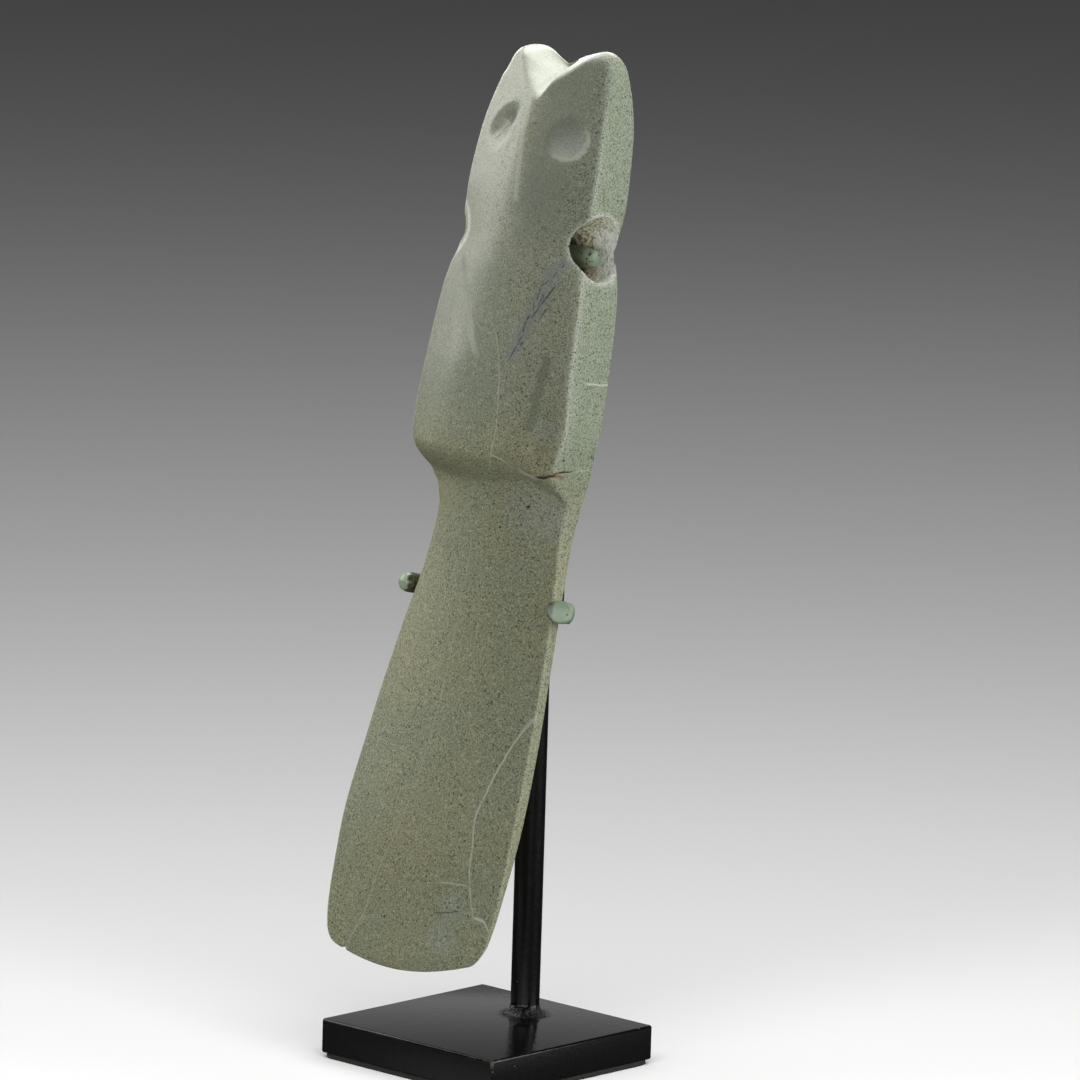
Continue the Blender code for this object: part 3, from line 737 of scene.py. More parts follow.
# ---------------------------------------------------------------- looks of the stone
# (v, u) along the pale veins on the carved face
MAIN_VEIN = (
    (13.8, -12.0), (19.9, -9.2), (26.5, -7.4), (37.3, -3.4), (45.7, -1.9), (58.7, -1.2),
    (71.0, -1.6), (82.2, -1.8), (85.7, -2.3), (89.6, -2.8), (92.8, 1.7), (95.9, 4.4), (100.4, 4.9),
    (105.3, 4.4), (108.6, 3.9), (112.2, 3.0), (114.6, 2.0),
)
RIGHT_VEIN = (
    (22.9, 14.1), (27.1, 12.6), (30.5, 11.9), (34.0, 11.7), (38.2, 11.1), (41.7, 11.8),
    (48.5, 13.7), (54.5, 16.2), (56.7, 17.6), (58.2, 18.8),
)
FISSURE = (
    (110.0, 5.0), (111.9, 5.6), (114.3, 6.5), (117.8, 7.6), (120.7, 8.7), (123.3, 9.4),
    (125.8, 10.0), (128.2, 11.2),
)
# (u, v) of both ends and half-width of each dark stroke in the fissure
STROKES = (
    ((10.9, 124.1), (9.2, 120.7), 0.17),
    ((9.3, 120.9), (8.1, 118.3), 0.15),
    ((8.9, 124.3), (8.4, 121.4), 0.17),
    ((10.7, 126.3), (10.3, 125.3), 0.16),
    ((10.3, 120.4), (9.5, 118.6), 0.2),
    ((7.8, 118.9), (7.3, 117.9), 0.26),
    ((7.3, 117.9), (6.9, 115.9), 0.2),
    ((7.4, 114.6), (6.9, 113.6), 0.19),
    ((11.5, 127.8), (11.0, 127.1), 0.2),
    ((9.9, 124.9), (8.9, 123.9), 0.15),
    ((8.0, 121.2), (8.2, 119.6), 0.16),
    ((7.1, 115.6), (6.1, 113.1), 0.16),
    ((6.2, 113.4), (5.3, 110.9), 0.15),
    ((9.6, 122.6), (8.7, 120.4), 0.12),
)
# (u, v) along finer marks of the face
FORK_VEIN = ((14.1, 23.0), (16.4, 22.6), (17.2, 21.8), (18.2, 20.9))
CROSS_VEIN = ((6.1, 27.2), (9.0, 27.5), (12.3, 27.6))
BRANCH = ((4.4, 95.9), (5.6, 95.7), (6.8, 95.3), (7.5, 94.5))
DARK_VEIN = ((5.9, 22.3), (8.5, 22.7), (11.3, 23.4))
CRACK = (
    (9.0, 94.2), (9.8, 93.9), (11.2, 93.6), (12.5, 93.7), (13.4, 93.7), (15.0, 94.3), (16.8, 95.0),
)
# (u, v) of both ends and half-width of a stain, of the painted shade down the right trough, and of
# each fold below the left eye
CRACK_STAIN = ((12.2, 93.5), (15.9, 94.6), 0.42)
TROUGH_SHADE_STROKE = ((11.9, 113.0), (10.7, 100.5), 1.0)
EYE_FOLDS = (
    ((-5.4, 149.0), (-6.1, 147.9), 0.22),
    ((-6.1, 147.9), (-7.3, 147.1), 0.24),
    ((-7.3, 147.1), (-8.9, 145.8), 0.22),
    ((-6.9, 148.8), (-8.0, 147.4), 0.2),
    ((-5.3, 148.0), (-6.2, 146.6), 0.18),
)
# (t, v) on the right side facet; for the dark marks behind the bore both ends and half-width
SIDE_LINE = ((-6.0, 110.5), (-3.0, 110.15), (0.0, 109.85), (2.0, 109.7))
SIDE_CRACK = ((-6.0, 96.9), (-3.0, 96.3), (0.0, 95.6), (2.2, 95.2), (4.2, 94.6), (6.0, 94.2))
RIM_MARKS = (
    ((-3.4, 131.9), (-3.8, 130.6), 0.22),
    ((-4.1, 131.3), (-4.2, 130.0), 0.2),
    ((-2.9, 132.6), (-3.3, 132.0), 0.2),
)
# u, v and reach; the two at (13.3, 101.4) are a painted lit patch in the right trough, the rest the
# stone's bluish spots
BLUISH_SPOTS_AND_LIT_PATCH = (
    (8.6, 18.5, 4.5), (9.6, 23.8, 4.5), (9.5, 88.0, 8.0), (13.3, 101.4, 3.2), (13.3, 101.4, 2.4),
    (12.8, 88.5, 3.2), (13.6, 86.6, 4.2),
)
# cells per mm, radius of a speck in cells, share of cells with one, darkness
SPECKS = (
    (2.6, 0.3, 0.8, 0.7),
    (1.55, 0.23, 0.8, 0.85),
    (0.5, 0.09, 0.5, 0.9),
    (0.24, 0.055, 0.3, 1.0),
)
# (v, u) of the painted highlight along the edge of the head's panel
PANEL_EDGE_HIGHLIGHT = tuple((v, -u) for v, u in PANEL_EDGE_AT[-1].items() if v < 127.0)
LINE_WAVER, LINE_FADE = 0.35, 1.2   # of the veins
# (u, v) of the eyes' middles; the left one's half-length and half-width, and where it points
RIGHT_EYE = (7.4, 147.4)
LEFT_EYE, LEFT_EYE_RADII, LEFT_EYE_TURN = (-6.6, 149.5), (3.5, 1.6), (0.79, 0.62)

# v at which one look starts to give way to the next, and at which it has done so
BODY_FROM = (92.0, 112.0)
SIDE_GREEN_FROM = (84.0, 98.0)
EDGE_PALE_FROM = (86.0, 96.0)
RIGHT_HEAD_SHADE_FROM = (124.0, 140.0)
CROWN_FROM = (132.0, 142.0)
TORSO_TO = (124.0, 132.0)

BLADE_OLIVE = (0.306, 0.297, 0.168)
BLADE_GREEN = (0.255, 0.275, 0.170)
PALE_BLUISH = (0.33, 0.36, 0.30)
HEAD_GREY = (0.298, 0.316, 0.236)
HEAD_SHADE = (0.172, 0.212, 0.190)
SIDE_GREEN = (0.300, 0.365, 0.265)
SIDE_OLIVE = (0.345, 0.352, 0.225)
WARM_SPOT = (0.33, 0.26, 0.15)
PAINTED_HIGHLIGHT_PALE = (0.50, 0.53, 0.43)
EDGE_PALE = (0.56, 0.59, 0.49)
EDGE_YELLOW = (0.54, 0.56, 0.38)
RIM_PALE = (0.74, 0.77, 0.66)
NOTCH_PALE_AND_LIT = (0.66, 0.68, 0.58)
PANEL_HIGHLIGHT_PALE = (0.47, 0.49, 0.40)
PALE_GRAIN = (0.52, 0.54, 0.40)
SPECK_GREEN = (0.12, 0.15, 0.09)
SPECK_DARK = (0.035, 0.045, 0.028)
VEIN_PALE = (0.62, 0.61, 0.50)
HAIR_BLUE = (0.05, 0.055, 0.07)
HAZE_BLUE = (0.24, 0.26, 0.27)
CRACK_DARK = (0.03, 0.02, 0.012)
RUST = (0.20, 0.10, 0.035)
EYE_WHITE = (0.43, 0.46, 0.42)
PIT_GREY = (0.17, 0.185, 0.17)


class Jade(Nodes):
    """The speckled stone."""

    def __init__(self):
        super().__init__("speckled_jade", carved=True)
        self.shake = (self.noise(self.place, 0.9, 3.0, 0.6) - 0.5) * 1.1
        self.warm = self.noise(self.place, 0.5, 3.0, 0.6)
        self.patch = self.noise(self.place, 0.16, 5.0, 0.62, 0.4)
        self.rubbed = self.noise(self.place, 2.6, 3.0, 0.7)
        wander = self.noise(self.place, 1.6, 3.0, 0.6) - 0.5
        self.strayed_u = self.u + wander * 0.55
        self.on_face = self.mark("on_face")
        self.on_side = self.mark("on_side")
        self.on_right = self.on_side * self.step(self.u, -1.0, 1.0)
        self.in_notch = self.mark("in_notch")
        self.body = self.step(self.v, *BODY_FROM)
        # right half of the head above v 124, where shade is painted
        self.right_head_shade = self.step(self.v, *RIGHT_HEAD_SHADE_FROM) * self.step(self.u, 0.0, 3.0) * self.on_face

    def line(self, value, along, path, width, low, high):
        """1 near a path of (along, value), or near one value, from low to high along it."""
        at = self.curve(along, path) if isinstance(path, tuple) else path
        mask = self.fall(abs(value + self.shake * LINE_WAVER - at), width * 0.35, width)
        mask = mask * self.step(along, low, low + LINE_FADE)
        return mask * self.fall(along, high - LINE_FADE, high)

    def broad_colour(self):
        u, v = self.u, self.v
        cloud = self.noise(self.place, 0.045, 4.0, 0.55)
        self.colour = self.mix(self.step(cloud, 0.38, 0.62), BLADE_OLIVE, BLADE_GREEN)
        self.lay(self.step(self.patch, 0.45, 0.72) * 0.14, PALE_BLUISH)
        # the stone's bluish spots, and a painted lit patch in the right trough
        for spot_u, spot_v, reach in BLUISH_SPOTS_AND_LIT_PATCH:
            off = self.apart(u, v, (spot_u, spot_v)) + self.shake * 3.0
            self.lay(self.fall(off, 0.0, reach) * 0.62, PALE_BLUISH)
        self.lay(self.body * 0.7, HEAD_GREY)
        side = self.mix(self.step(v, *SIDE_GREEN_FROM), SIDE_OLIVE, SIDE_GREEN)
        self.lay(self.on_side * 0.8, side)
        self.lay(self.step(self.warm, 0.52, 0.75) * self.mixf(self.body, 0.4, 0.15), WARM_SPOT)
        edge = self.mix(self.step(v, *EDGE_PALE_FROM), EDGE_YELLOW, EDGE_PALE)
        # worn front edges painted pale, partly as their highlight
        self.lay(self.mark("worn") * 0.8, edge)
        # worn rim of the bore painted pale, partly as its highlight
        self.lay(self.mark("by_bore") * 0.9, RIM_PALE)
        # paler notch, with painted light from above
        self.lay(self.in_notch * 0.8, NOTCH_PALE_AND_LIT)
        # paler stone on the left of the head, with its sheen painted in
        crown = self.step(v, *CROWN_FROM) * self.fall(u, -3.0, 0.5)
        self.lay(crown * (1.0 - self.on_side) * 0.5, PAINTED_HIGHLIGHT_PALE)
        # painted shade over the right half of the head
        self.lay(self.right_head_shade * 0.45, HEAD_SHADE)
        torso = self.body * self.fall(v, *TORSO_TO) * self.on_face * self.fall(u, 2.0, 6.0)
        self.lay(torso * 0.3, SPECK_GREEN)

    def grains(self):
        """Pale grains and dark specks of several sizes, calmer where sheen and shade are painted.
        """
        self.polished = self.body * (1.0 - self.on_side) * self.fall(self.u, -9.0, 11.0)
        shaded = self.right_head_shade * self.fall(self.u, 7.5, 11.0)
        # specks washed out as painted sheen where polished and in the notch, and as painted shade
        # on the head's right
        calm = self.mixf(self.polished, 1.0, 0.48)
        calm = calm * (1.0 - self.in_notch * 0.85) * (1.0 - shaded * 0.7)
        share = self.mixf(calm, 0.3, 1.0)
        self.grain = self.noise(self.place, 3.6, 2.0, 0.75)
        tone = self.grain - 0.5
        self.lay(self.math("MULTIPLY", tone, 3.6, clamp=True) * share, PALE_GRAIN)
        self.lay(self.math("MULTIPLY", tone, -5.2, clamp=True) * share, SPECK_GREEN)
        swirl = {0: self.noise(self.place, 1.3, output=1), 1: (0.9, 0.9, 0.9), 2: self.place}
        swirled = self.add("ShaderNodeVectorMath", swirl, operation="MULTIPLY_ADD")
        dots = []
        for scale, radius, often, amount in SPECKS:
            distance, pick, size = self.cells(swirled, scale)
            size = (size + 0.4) * radius
            dot = self.fall(distance, size * 0.6, size)
            dots.append(dot * self.math("LESS_THAN", pick, often) * amount)
        self.specks = functools.reduce(Value.__or__, dots) * calm
        self.lay(self.specks, SPECK_DARK)

    def veins(self):
        u, v, t = self.u, self.v, self.t
        broken = self.step(self.noise(self.place, 0.35, 4.0, 0.6), 0.36, 0.58)
        # the main vein is faint and broken between the bit and the body
        strong = self.step(v, 92.0, 95.0) | self.fall(v, 24.0, 34.0)
        main = self.line(u, v, MAIN_VEIN, 0.15, 13.0, 115.5)
        main = main * self.mixf(strong, broken * 0.3, 0.5)
        right = self.line(u, v, RIGHT_VEIN, 0.24, 21.8, 58.5) * self.mixf(broken, 0.35, 0.9)
        swollen = self.line(u, v, RIGHT_VEIN, 0.55, 53.0, 59.0) * 0.55
        fork = self.line(v, u, FORK_VEIN, 0.3, 13.6, 18.4)
        cross = self.line(v, u, CROSS_VEIN, 0.2, 5.6, 12.6) * 0.6
        branch = self.line(v, u, BRANCH, 0.2, 3.9, 8.1) * 0.8
        pale = main | right | swollen | fork | cross | branch
        self.lay(pale * self.on_face * 0.75, VEIN_PALE)
        ring = self.line(v, t, SIDE_LINE, 0.22, -7.0, 1.6)
        self.lay(ring * self.on_right * 0.8, VEIN_PALE)

        # painted highlight where the head's panel ends on the left, and painted shade down the
        # trough beside the right ridge
        streak = self.line(u, v, PANEL_EDGE_HIGHLIGHT, 1.1, 110.5, 125.0)
        self.lay(streak * self.on_face * 0.35, PANEL_HIGHLIGHT_PALE)
        # painted shade down the right trough
        trough_shade = self.stroke(u + self.shake * 1.4, v, *TROUGH_SHADE_STROKE)
        self.lay(trough_shade * self.on_face * 0.55, SPECK_GREEN)

        # dark strokes of the fissure in a bluish haze
        haze = self.line(u, v, FISSURE, 2.0, 110.5, 129.0)
        self.lay(haze * self.on_face * 0.45, HAZE_BLUE)
        ragged = self.step(self.noise(self.place, 2.4, 3.0, 0.7), 0.36, 0.5)
        self.hair = self.strokes(self.strayed_u, v, STROKES) * self.on_face
        self.hair = self.hair * self.mixf(ragged, 0.35, 1.0)
        self.lay(self.hair * 0.85, HAIR_BLUE)
        dark = self.line(v, u, DARK_VEIN, 0.2, 5.4, 11.8)
        self.lay(dark * self.on_face * 0.6, SPECK_DARK)
        for mark in RIM_MARKS:
            self.lay(self.stroke(t, v, *mark) * self.step(u, 8.0, 10.0) * 0.8, SPECK_DARK)

    def rusty_crack(self):
        """Crack with rusty dirt, on the face and round the side."""
        u, v, t = self.u, self.v, self.t
        crack = self.line(v, u, CRACK, 0.26, 8.4, 17.6) * self.on_face
        crack = crack | self.line(v, t, SIDE_CRACK, 0.16, -4.6, 6.4) * self.on_right
        rim = self.line(v, u, CRACK, 0.5, 8.0, 17.6)
        self.lay(rim * self.on_face * 0.3, VEIN_PALE)
        dirty = self.step(u, 10.6, 12.8) * self.step(t, -2.4, 1.5)
        stain = self.stroke(u, v + self.shake * 0.6, *CRACK_STAIN)
        self.lay(stain * self.step(t, 0.5, 2.0) * 0.65, RUST)
        filling = self.mix(self.step(self.warm, 0.5, 0.7), CRACK_DARK, RUST)
        self.lay(crack * self.mixf(dirty, 0.5, 0.95), self.mix(dirty, VEIN_PALE, filling))
        self.open_crack = crack * dirty

    def eyes(self):
        u, v = self.u, self.v
        rubbed = self.step(self.rubbed, 0.4, 0.6)

        # unpolished hollow on the right, milky and paler towards its lower right, with a painted
        # highlight on its lower rim
        off = self.apart(u, v, RIGHT_EYE) + self.shake * 1.8
        in_right = self.fall(off, 2.3, 3.5) * self.on_face
        slope = u - v
        milky = self.mixf(self.fall(v, 145.5, 150.5), 0.2, 0.85) * self.mixf(rubbed, 0.6, 1.0)
        milky = milky * self.mixf(self.step(slope, -143.5, -137.5), 0.5, 1.0)
        self.lay(in_right * milky, EYE_WHITE)
        # painted highlight on the hollow's lower rim
        lit_crescent = self.step(off, 1.7, 3.2) * self.fall(off, 3.3, 3.75) * self.on_face
        self.lay(lit_crescent * self.step(slope, -142.0, -137.6) * 0.55, PAINTED_HIGHLIGHT_PALE)

        # a slanting hollow on the left, painted dark above as unpolished stone and shade, and
        # painted light on its lower wall, with folds below it
        du, dv = u - LEFT_EYE[0], v - LEFT_EYE[1]
        cos, sin = LEFT_EYE_TURN
        long, short = LEFT_EYE_RADII
        along = du * (cos / long) + dv * (sin / long)
        across = dv * (cos / short) - du * (sin / short)
        off = self.apart(along, across, (0.0, 0.0)) + self.shake * 0.35
        in_left = self.fall(off, 0.0, 1.25) * self.on_face
        upper = self.step(along + self.shake * 0.8, -0.4, 0.0)
        # upper part painted dark as unpolished stone in shade, lower wall painted light
        self.lay(in_left * self.mixf(upper, 0.9, 0.5), self.mix(upper, NOTCH_PALE_AND_LIT, PIT_GREY))
        self.lay(in_left * upper * self.mixf(rubbed, 0.7, 0.2), PIT_GREY)
        self.folds = self.strokes(self.strayed_u, v, EYE_FOLDS) * self.on_face
        self.lay(self.folds * 0.85, PIT_GREY)
        self.rough_floor = in_right | in_left

        # painted highlight along the ridge between the eyes, which leans to the left as it rises
        beak = self.line(u + (v - 145.0) * 0.137, v, -0.25, 0.75, 136.0, 154.5)
        self.lay(beak * self.on_face * 0.4, PAINTED_HIGHLIGHT_PALE)

    def relief_and_gloss(self):
        height = self.grain * 0.35 + self.specks * -0.35 - self.open_crack * 4.0
        height = height - (self.hair | self.folds) * 0.8
        height = height + self.noise(self.place, 1.1, 3.0) * (self.rough_floor * 4.0)
        normal = self.bump(height, 0.05)
        normal = self.bump(self.noise(self.place, 0.22, 3.0, 0.5), 0.5, 0.25, Normal=normal)
        rough = self.mixf(self.step(self.patch, 0.35, 0.7), 0.5, 0.6)
        rough = self.mixf(self.polished, rough, 0.36)
        rough = self.mixf(self.specks, rough, 0.6)
        rough = self.mixf(self.rough_floor, rough, 0.75)
        return self.finish(rough, self.mixf(self.polished, 0.28, 0.5), Normal=normal)


def jade():
    n = Jade()
    n.broad_colour()
    n.grains()
    n.veins()
    n.rusty_crack()
    n.eyes()
    return n.relief_and_gloss()


BORE_TAN, BORE_GRAIN_PALE = (0.24, 0.2, 0.11), (0.95, 0.94, 0.72)
BORE_SEAM = (0.25, 0.22, 0.13)
BORE_FROST = (0.97, 1.0, 0.93)
BORE_SHADE = (0.25, 0.21, 0.12)
BORE_PAINTED_SHADE = (0.05, 0.036, 0.02)
BORE_RUST = (0.42, 0.29, 0.16)


def drilled_stone():
    """Rough wall of the bore: painted shade deep inside and under the peg, tan grains, a frosted
    mouth and a rusty streak below.
    """
    n = Nodes("drilled_stone", carved=True)
    combed = n.add("ShaderNodeVectorMath", {0: n.place, 1: (1.0, 0.8, 0.5)}, operation="MULTIPLY")
    grain = n.noise(combed, 2.1, 3.0, 0.72)
    lump = n.cells(combed, 2.0)[0]
    stray = n.noise(n.place, 0.7, 3.0, 0.6) - 0.5
    n.colour = n.mix(n.step(grain, 0.4, 0.56), BORE_TAN, BORE_GRAIN_PALE)
    n.lay(n.fall(lump, 0.1, 0.5) * 0.4, BORE_SEAM)
    out = abs(n.u) + stray * 4.0
    rear = n.step(stray * 3.0 - n.t, 0.2, 3.4)
    frosted = n.step(out, 10.8, 13.0) | rear * n.step(out, 7.0, 10.0)
    n.lay(frosted * n.mixf(n.step(grain, 0.38, 0.5), 0.45, 0.97), BORE_FROST)
    n.lay(n.fall(out, 6.0, 11.0) * 0.25, BORE_SHADE)
    # painted shade deep in the bore
    n.lay(n.fall(out, 4.4, 7.2) * 0.9, BORE_PAINTED_SHADE)
    # painted shadow under the peg
    bottom = n.fall(n.v + stray, 127.7, 129.2)
    n.lay(bottom * n.fall(out, 7.6, 10.2), BORE_PAINTED_SHADE)
    n.lay(bottom * n.step(out, 7.6, 9.0) * n.fall(out, 10.6, 12.0) * 0.55, BORE_RUST)
    return n.finish(0.75, Normal=n.bump(grain + lump * 0.8, 0.22))


# ---------------------------------------------------------------- the stone
def bore_cutter(look):
    rings = []
    reach = max(BORE_WALL)
    begin, full, narrower = BORE_NARROW
    for u in np.linspace(-reach, reach, BORE_RINGS + 1):
        v = BORE_V + BORE_CLIMB * abs(u)
        t = BORE_FORWARD * abs(u)
        radius = float(bore_wall(abs(u)) * (1 - narrower * smooth(begin, full, -u)))
        ring = []
        for c, s in turns(BORE_SIDES):
            spot = Vector((u * 0.9, 0.75 * c * radius, 0.75 * s * radius))
            r = radius + BORE_GRAIN * noise.fractal(spot * 0.9, 1.0, 2.2, 4)
            r += BORE_LUMPS * noise.noise(spot * 0.35)
            ring.append(world(u, v + r * c, t + r * s) * MM)
        rings.append(ring)
    return loft("bore_cutter", rings, (look,))


def new_chip():
    u, v, radius = CHIP
    bm = bmesh.new()
    bmesh.ops.create_icosphere(bm, subdivisions=3, radius=radius * MM)
    for vert in bm.verts:
        vert.co *= 1 + CHIP_LUMPS * noise.noise(vert.co / MM * 1.7)
        vert.co += world(u, v - radius * CHIP_DROP, BIT_DEPTH) * MM
    return from_bmesh("chip", bm)


# how much of a normal points out of the face, and across, where the face and the side facets begin
FACE_TURN, SIDE_TURN = (0.12, 0.4), (0.7, 0.92)
BORE_RIM_FROM = (0.35, 0.6)   # share of the half-width from which the bore's rim is worn and painted pale as its highlight
NOTCH_PALE_BEGINS = (-1.0, 0.1)      # height of the face over the notch's surface where its paler stone and painted light from above begin


def mark_points(obj):
    """Keeps on each point how far it lies on the face, a side facet, a worn edge with its painted
    highlight, and so on.
    """
    mesh = obj.data
    count = len(mesh.vertices)
    places = np.empty(count * 3)
    mesh.vertices.foreach_get("co", places)
    u, v, t = uvt(places.reshape(-1, 3) / MM)
    normals = np.empty(count * 3)
    mesh.vertex_normals.foreach_get("vector", normals)
    normals = normals.reshape(-1, 3)
    out_u = normals[:, 0]
    out_t = normals[:, 2] * math.sin(LEAN) - normals[:, 1] * math.cos(LEAN)
    half = half_width(v, u)
    from_edge = np.hypot((np.abs(u) - half) * 0.8, t - front(np.sign(u) * half, v))
    on_body = smooth(*WORN_AND_LIT_FROM, v)
    reach = blend(*WORN_AND_LIT_REACH, on_body)
    away_v = v - BORE_V - BORE_CLIMB * np.abs(u)
    away_t = t - BORE_FORWARD * np.abs(u)
    from_bore = np.hypot(away_v, away_t) - bore_wall(np.abs(u))
    notch_depth = front(u, v) - notch_height(u, v)
    marks = {
        "on_face": smooth(*FACE_TURN, out_t),
        "on_side": smooth(*SIDE_TURN, np.abs(out_u)),
        "worn": np.exp(-(from_edge / reach) ** 2) * blend(*WORN_AND_LIT_SHARE, on_body),
        "by_bore": np.exp(-(from_bore / BORE_RIM) ** 2) * smooth(*BORE_RIM_FROM, np.abs(u) / half),
        "in_notch": smooth(*NOTCH_PALE_BEGINS, notch_depth) * smooth(0, 1, t),
    }
    for name, values in marks.items():
        layer = mesh.attributes.new(name, "FLOAT", "POINT")
        layer.data.foreach_set("value", values.astype(np.float32))


def carved_jade():
    stone = jade()
    drilled = drilled_stone()
    rings = [[world(*p) * MM for p in ring] for ring in sections()]
    edge = 2 * (EDGE_STEPS - 1) + SIDE_STEPS + 1
    right = FACE_COLUMNS + 1 + edge // 2
    left = FACE_COLUMNS + 1 + edge + BACK_COLUMNS + 1 + edge // 2
    obj = loft("carved_jade", rings, (stone,), (right, left))
    cut_away(obj, bore_cutter(drilled))
    cut_away(obj, new_chip())
    mark_points(obj)
    smooth_shaded(obj, 50)
    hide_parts("jade_pendant")
    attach(obj, "root")


# ---------------------------------------------------------------- looks of the stand
BLACK_DEEP, BLACK_SOFT, BLACK_SIDE_LIT = (0.0025,) * 3, (0.0045,) * 3, (0.0085,) * 3
BLACK_WIRE = (0.007,) * 3
DUST = (0.35, 0.33, 0.28)
CHAFED_TAN = (0.30, 0.26, 0.18)
MINT_DARK, MINT_PALE = (0.27, 0.36, 0.24), (0.37, 0.47, 0.33)
PEG_GREEN = (0.19, 0.25, 0.18)
PEG_SHADE_IN_BORE = (0.045, 0.06, 0.035)
PIT_BLACK = (0.012, 0.016, 0.012)
RIGHT_CLAW_DARK = (0.06, 0.085, 0.07)
LEFT_CLAW_DARK, LEFT_CLAW_RUST = (0.02, 0.02, 0.014), (0.16, 0.10, 0.045)
FELT_DARK, FELT_GREY = (0.012, 0.012, 0.011), (0.05, 0.05, 0.045)
LINT = (0.4, 0.38, 0.33)
PEG_FROM = (108.0, 112.0)     # height from which the painted wire is the peg's
# u, height above the peg's axis and radius of the dark pits near its end
PEG_PITS = (
    (11.75, 0.8, 0.32), (11.4, 0.0, 0.24), (11.15, -0.8, 0.26), (11.85, -0.35, 0.16),
    (11.3, -0.4, 0.14),
)


def black_paint():
    """Gloss on the plate's top and the weld, softer sides and post, painted light on the plate's
    sides; dust, a nick and wear.
    """
    n = Nodes("black_paint")
    x, y, z = n.x, n.y, n.z
    over = z - STAND_TOP
    peel = n.noise(n.place, 0.9, 3.0, 0.5)
    fine = n.noise(n.place, 6.0, 2.0, 0.6)
    n.colour = n.mix(n.step(peel, 0.3, 0.7), BLACK_DEEP, BLACK_SOFT)
    top = n.step(over, -0.5, -0.2)
    # painted light: the plate's sides and underside lighter than its top
    n.lay((1.0 - top) * 0.6, BLACK_SIDE_LIT)
    distance, pick, _ = n.cells(n.place, 0.32)
    n.lay(n.fall(distance, 0.02, 0.05) * n.math("LESS_THAN", pick, 0.5) * 0.5, DUST)

    # front corner, and the front edge of the plate's top
    nick = n.step(x - y - 2 * BASE_HIGH.x, -0.5, -0.3) * n.step(over, -1.6, -0.4)
    chafed = n.step(over - y - BASE_HIGH.x, -0.55, -0.35) * n.math("LESS_THAN", over, 0.1)
    chafed = chafed * n.step(n.noise(n.place, 0.35, 3.0, 0.7), 0.42, 0.66)
    n.lay((nick | chafed * 0.25) * 0.3, CHAFED_TAN)

    glossy = top * n.fall(over, 2.0, 3.0)
    rough = n.mixf(n.step(fine, 0.3, 0.7), n.mixf(glossy, 0.26, 0.11), n.mixf(glossy, 0.36, 0.15))
    weld = n.fall(n.apart(x, y, (0.0, POST_BACK)), 3.4, 4.8) * n.fall(over, 0.9, 2.0)
    rough = n.mixf(weld, rough, 0.12)
    height = peel + fine * 0.12 + n.noise(n.place, 1.5, 3.0, 0.6) * weld * 12.0
    return n.finish(rough, 0.22, Normal=n.bump(height, 0.03))


def wire_paint():
    """Mint green over the last stretch by the stone, black behind it."""
    n = Nodes("green_tipped_paint")
    x, y, z = n.x, n.y, n.z
    blot = n.noise(n.place, 0.8, 4.0, 0.65)
    stray = blot - 0.5
    green = n.fall(n.mark("along") + stray * 4.0, 8.5, 10.5)
    n.colour = n.mix(n.step(n.noise(n.place, 0.5, 3.0), 0.4, 0.65), MINT_DARK, MINT_PALE)

    # the peg is darker, with painted shade inside the bore, and pitted near its end
    on_peg = n.step(z, *PEG_FROM)
    on_claws = 1.0 - on_peg
    reach = abs(x)
    n.lay(on_peg * 0.75, PEG_GREEN)
    # painted shade on the peg inside the bore
    n.lay(n.fall(reach + stray * 2.4, 9.2, 11.6) * on_peg * 0.9, PEG_SHADE_IN_BORE)
    distance, pick, _ = n.cells(n.place, 1.5)
    often = n.mixf(on_peg * n.step(reach, 9.5, 10.5), 0.12, 0.6)
    dark = n.fall(distance, 0.16, 0.34) * n.math("LESS_THAN", pick, often)
    for spot_u, above, size in PEG_PITS:
        dark = dark | n.fall(n.apart(x, z, (spot_u, PEG_AXIS_Z + above)), size * 0.6, size)
    n.lay(dark * 0.9, PIT_BLACK)

    # the left claw is dark, with rust, on its side towards the blade; the right one darker just
    # left of its cut end
    tip = claw_tip(1)
    dark_end = n.step(tip.x - 0.75 - (x + stray * 1.2), 0.0, 0.5)
    dark_end = dark_end * n.step(x, tip.x - 4.0, tip.x - 3.0)
    n.lay(dark_end * on_claws * 0.8, RIGHT_CLAW_DARK)
    tip = claw_tip(-1)
    ragged = n.noise(n.place, 0.9, 3.0, 0.7, 0.6) - 0.5
    toward_blade = (x - tip.x) * 0.73 + (y - tip.y) * 0.68 - (z - tip.z) * 0.25 + ragged * 1.6
    dark_side = n.step(toward_blade, 0.75, 1.05) * n.fall(x, -4.0, 0.0) * on_claws
    rusty = n.step(n.noise(n.place, 1.6, 3.0, 0.7), 0.5, 0.62)
    n.lay(dark_side * 0.92, n.mix(rusty, LEFT_CLAW_DARK, LEFT_CLAW_RUST))

    n.colour = n.mix(green, BLACK_WIRE, n.colour)
    rough = n.mixf(green, 0.32, n.mixf(on_peg, 0.28, 0.5))
    return n.finish(rough, Normal=n.bump(blot + green * 0.8, 0.06))


def felt():
    n = Nodes("dark_felt")
    fuzz = n.noise(n.place, 5.0, 5.0, 0.8)
    n.colour = n.mix(fuzz, FELT_DARK, FELT_GREY)
    n.lay(n.step(n.noise(n.place, 2.2, 5.0, 0.85, 2.5), 0.66, 0.74) * 0.6, LINT)
    return n.finish(0.95, Normal=n.bump(fuzz, 0.25))


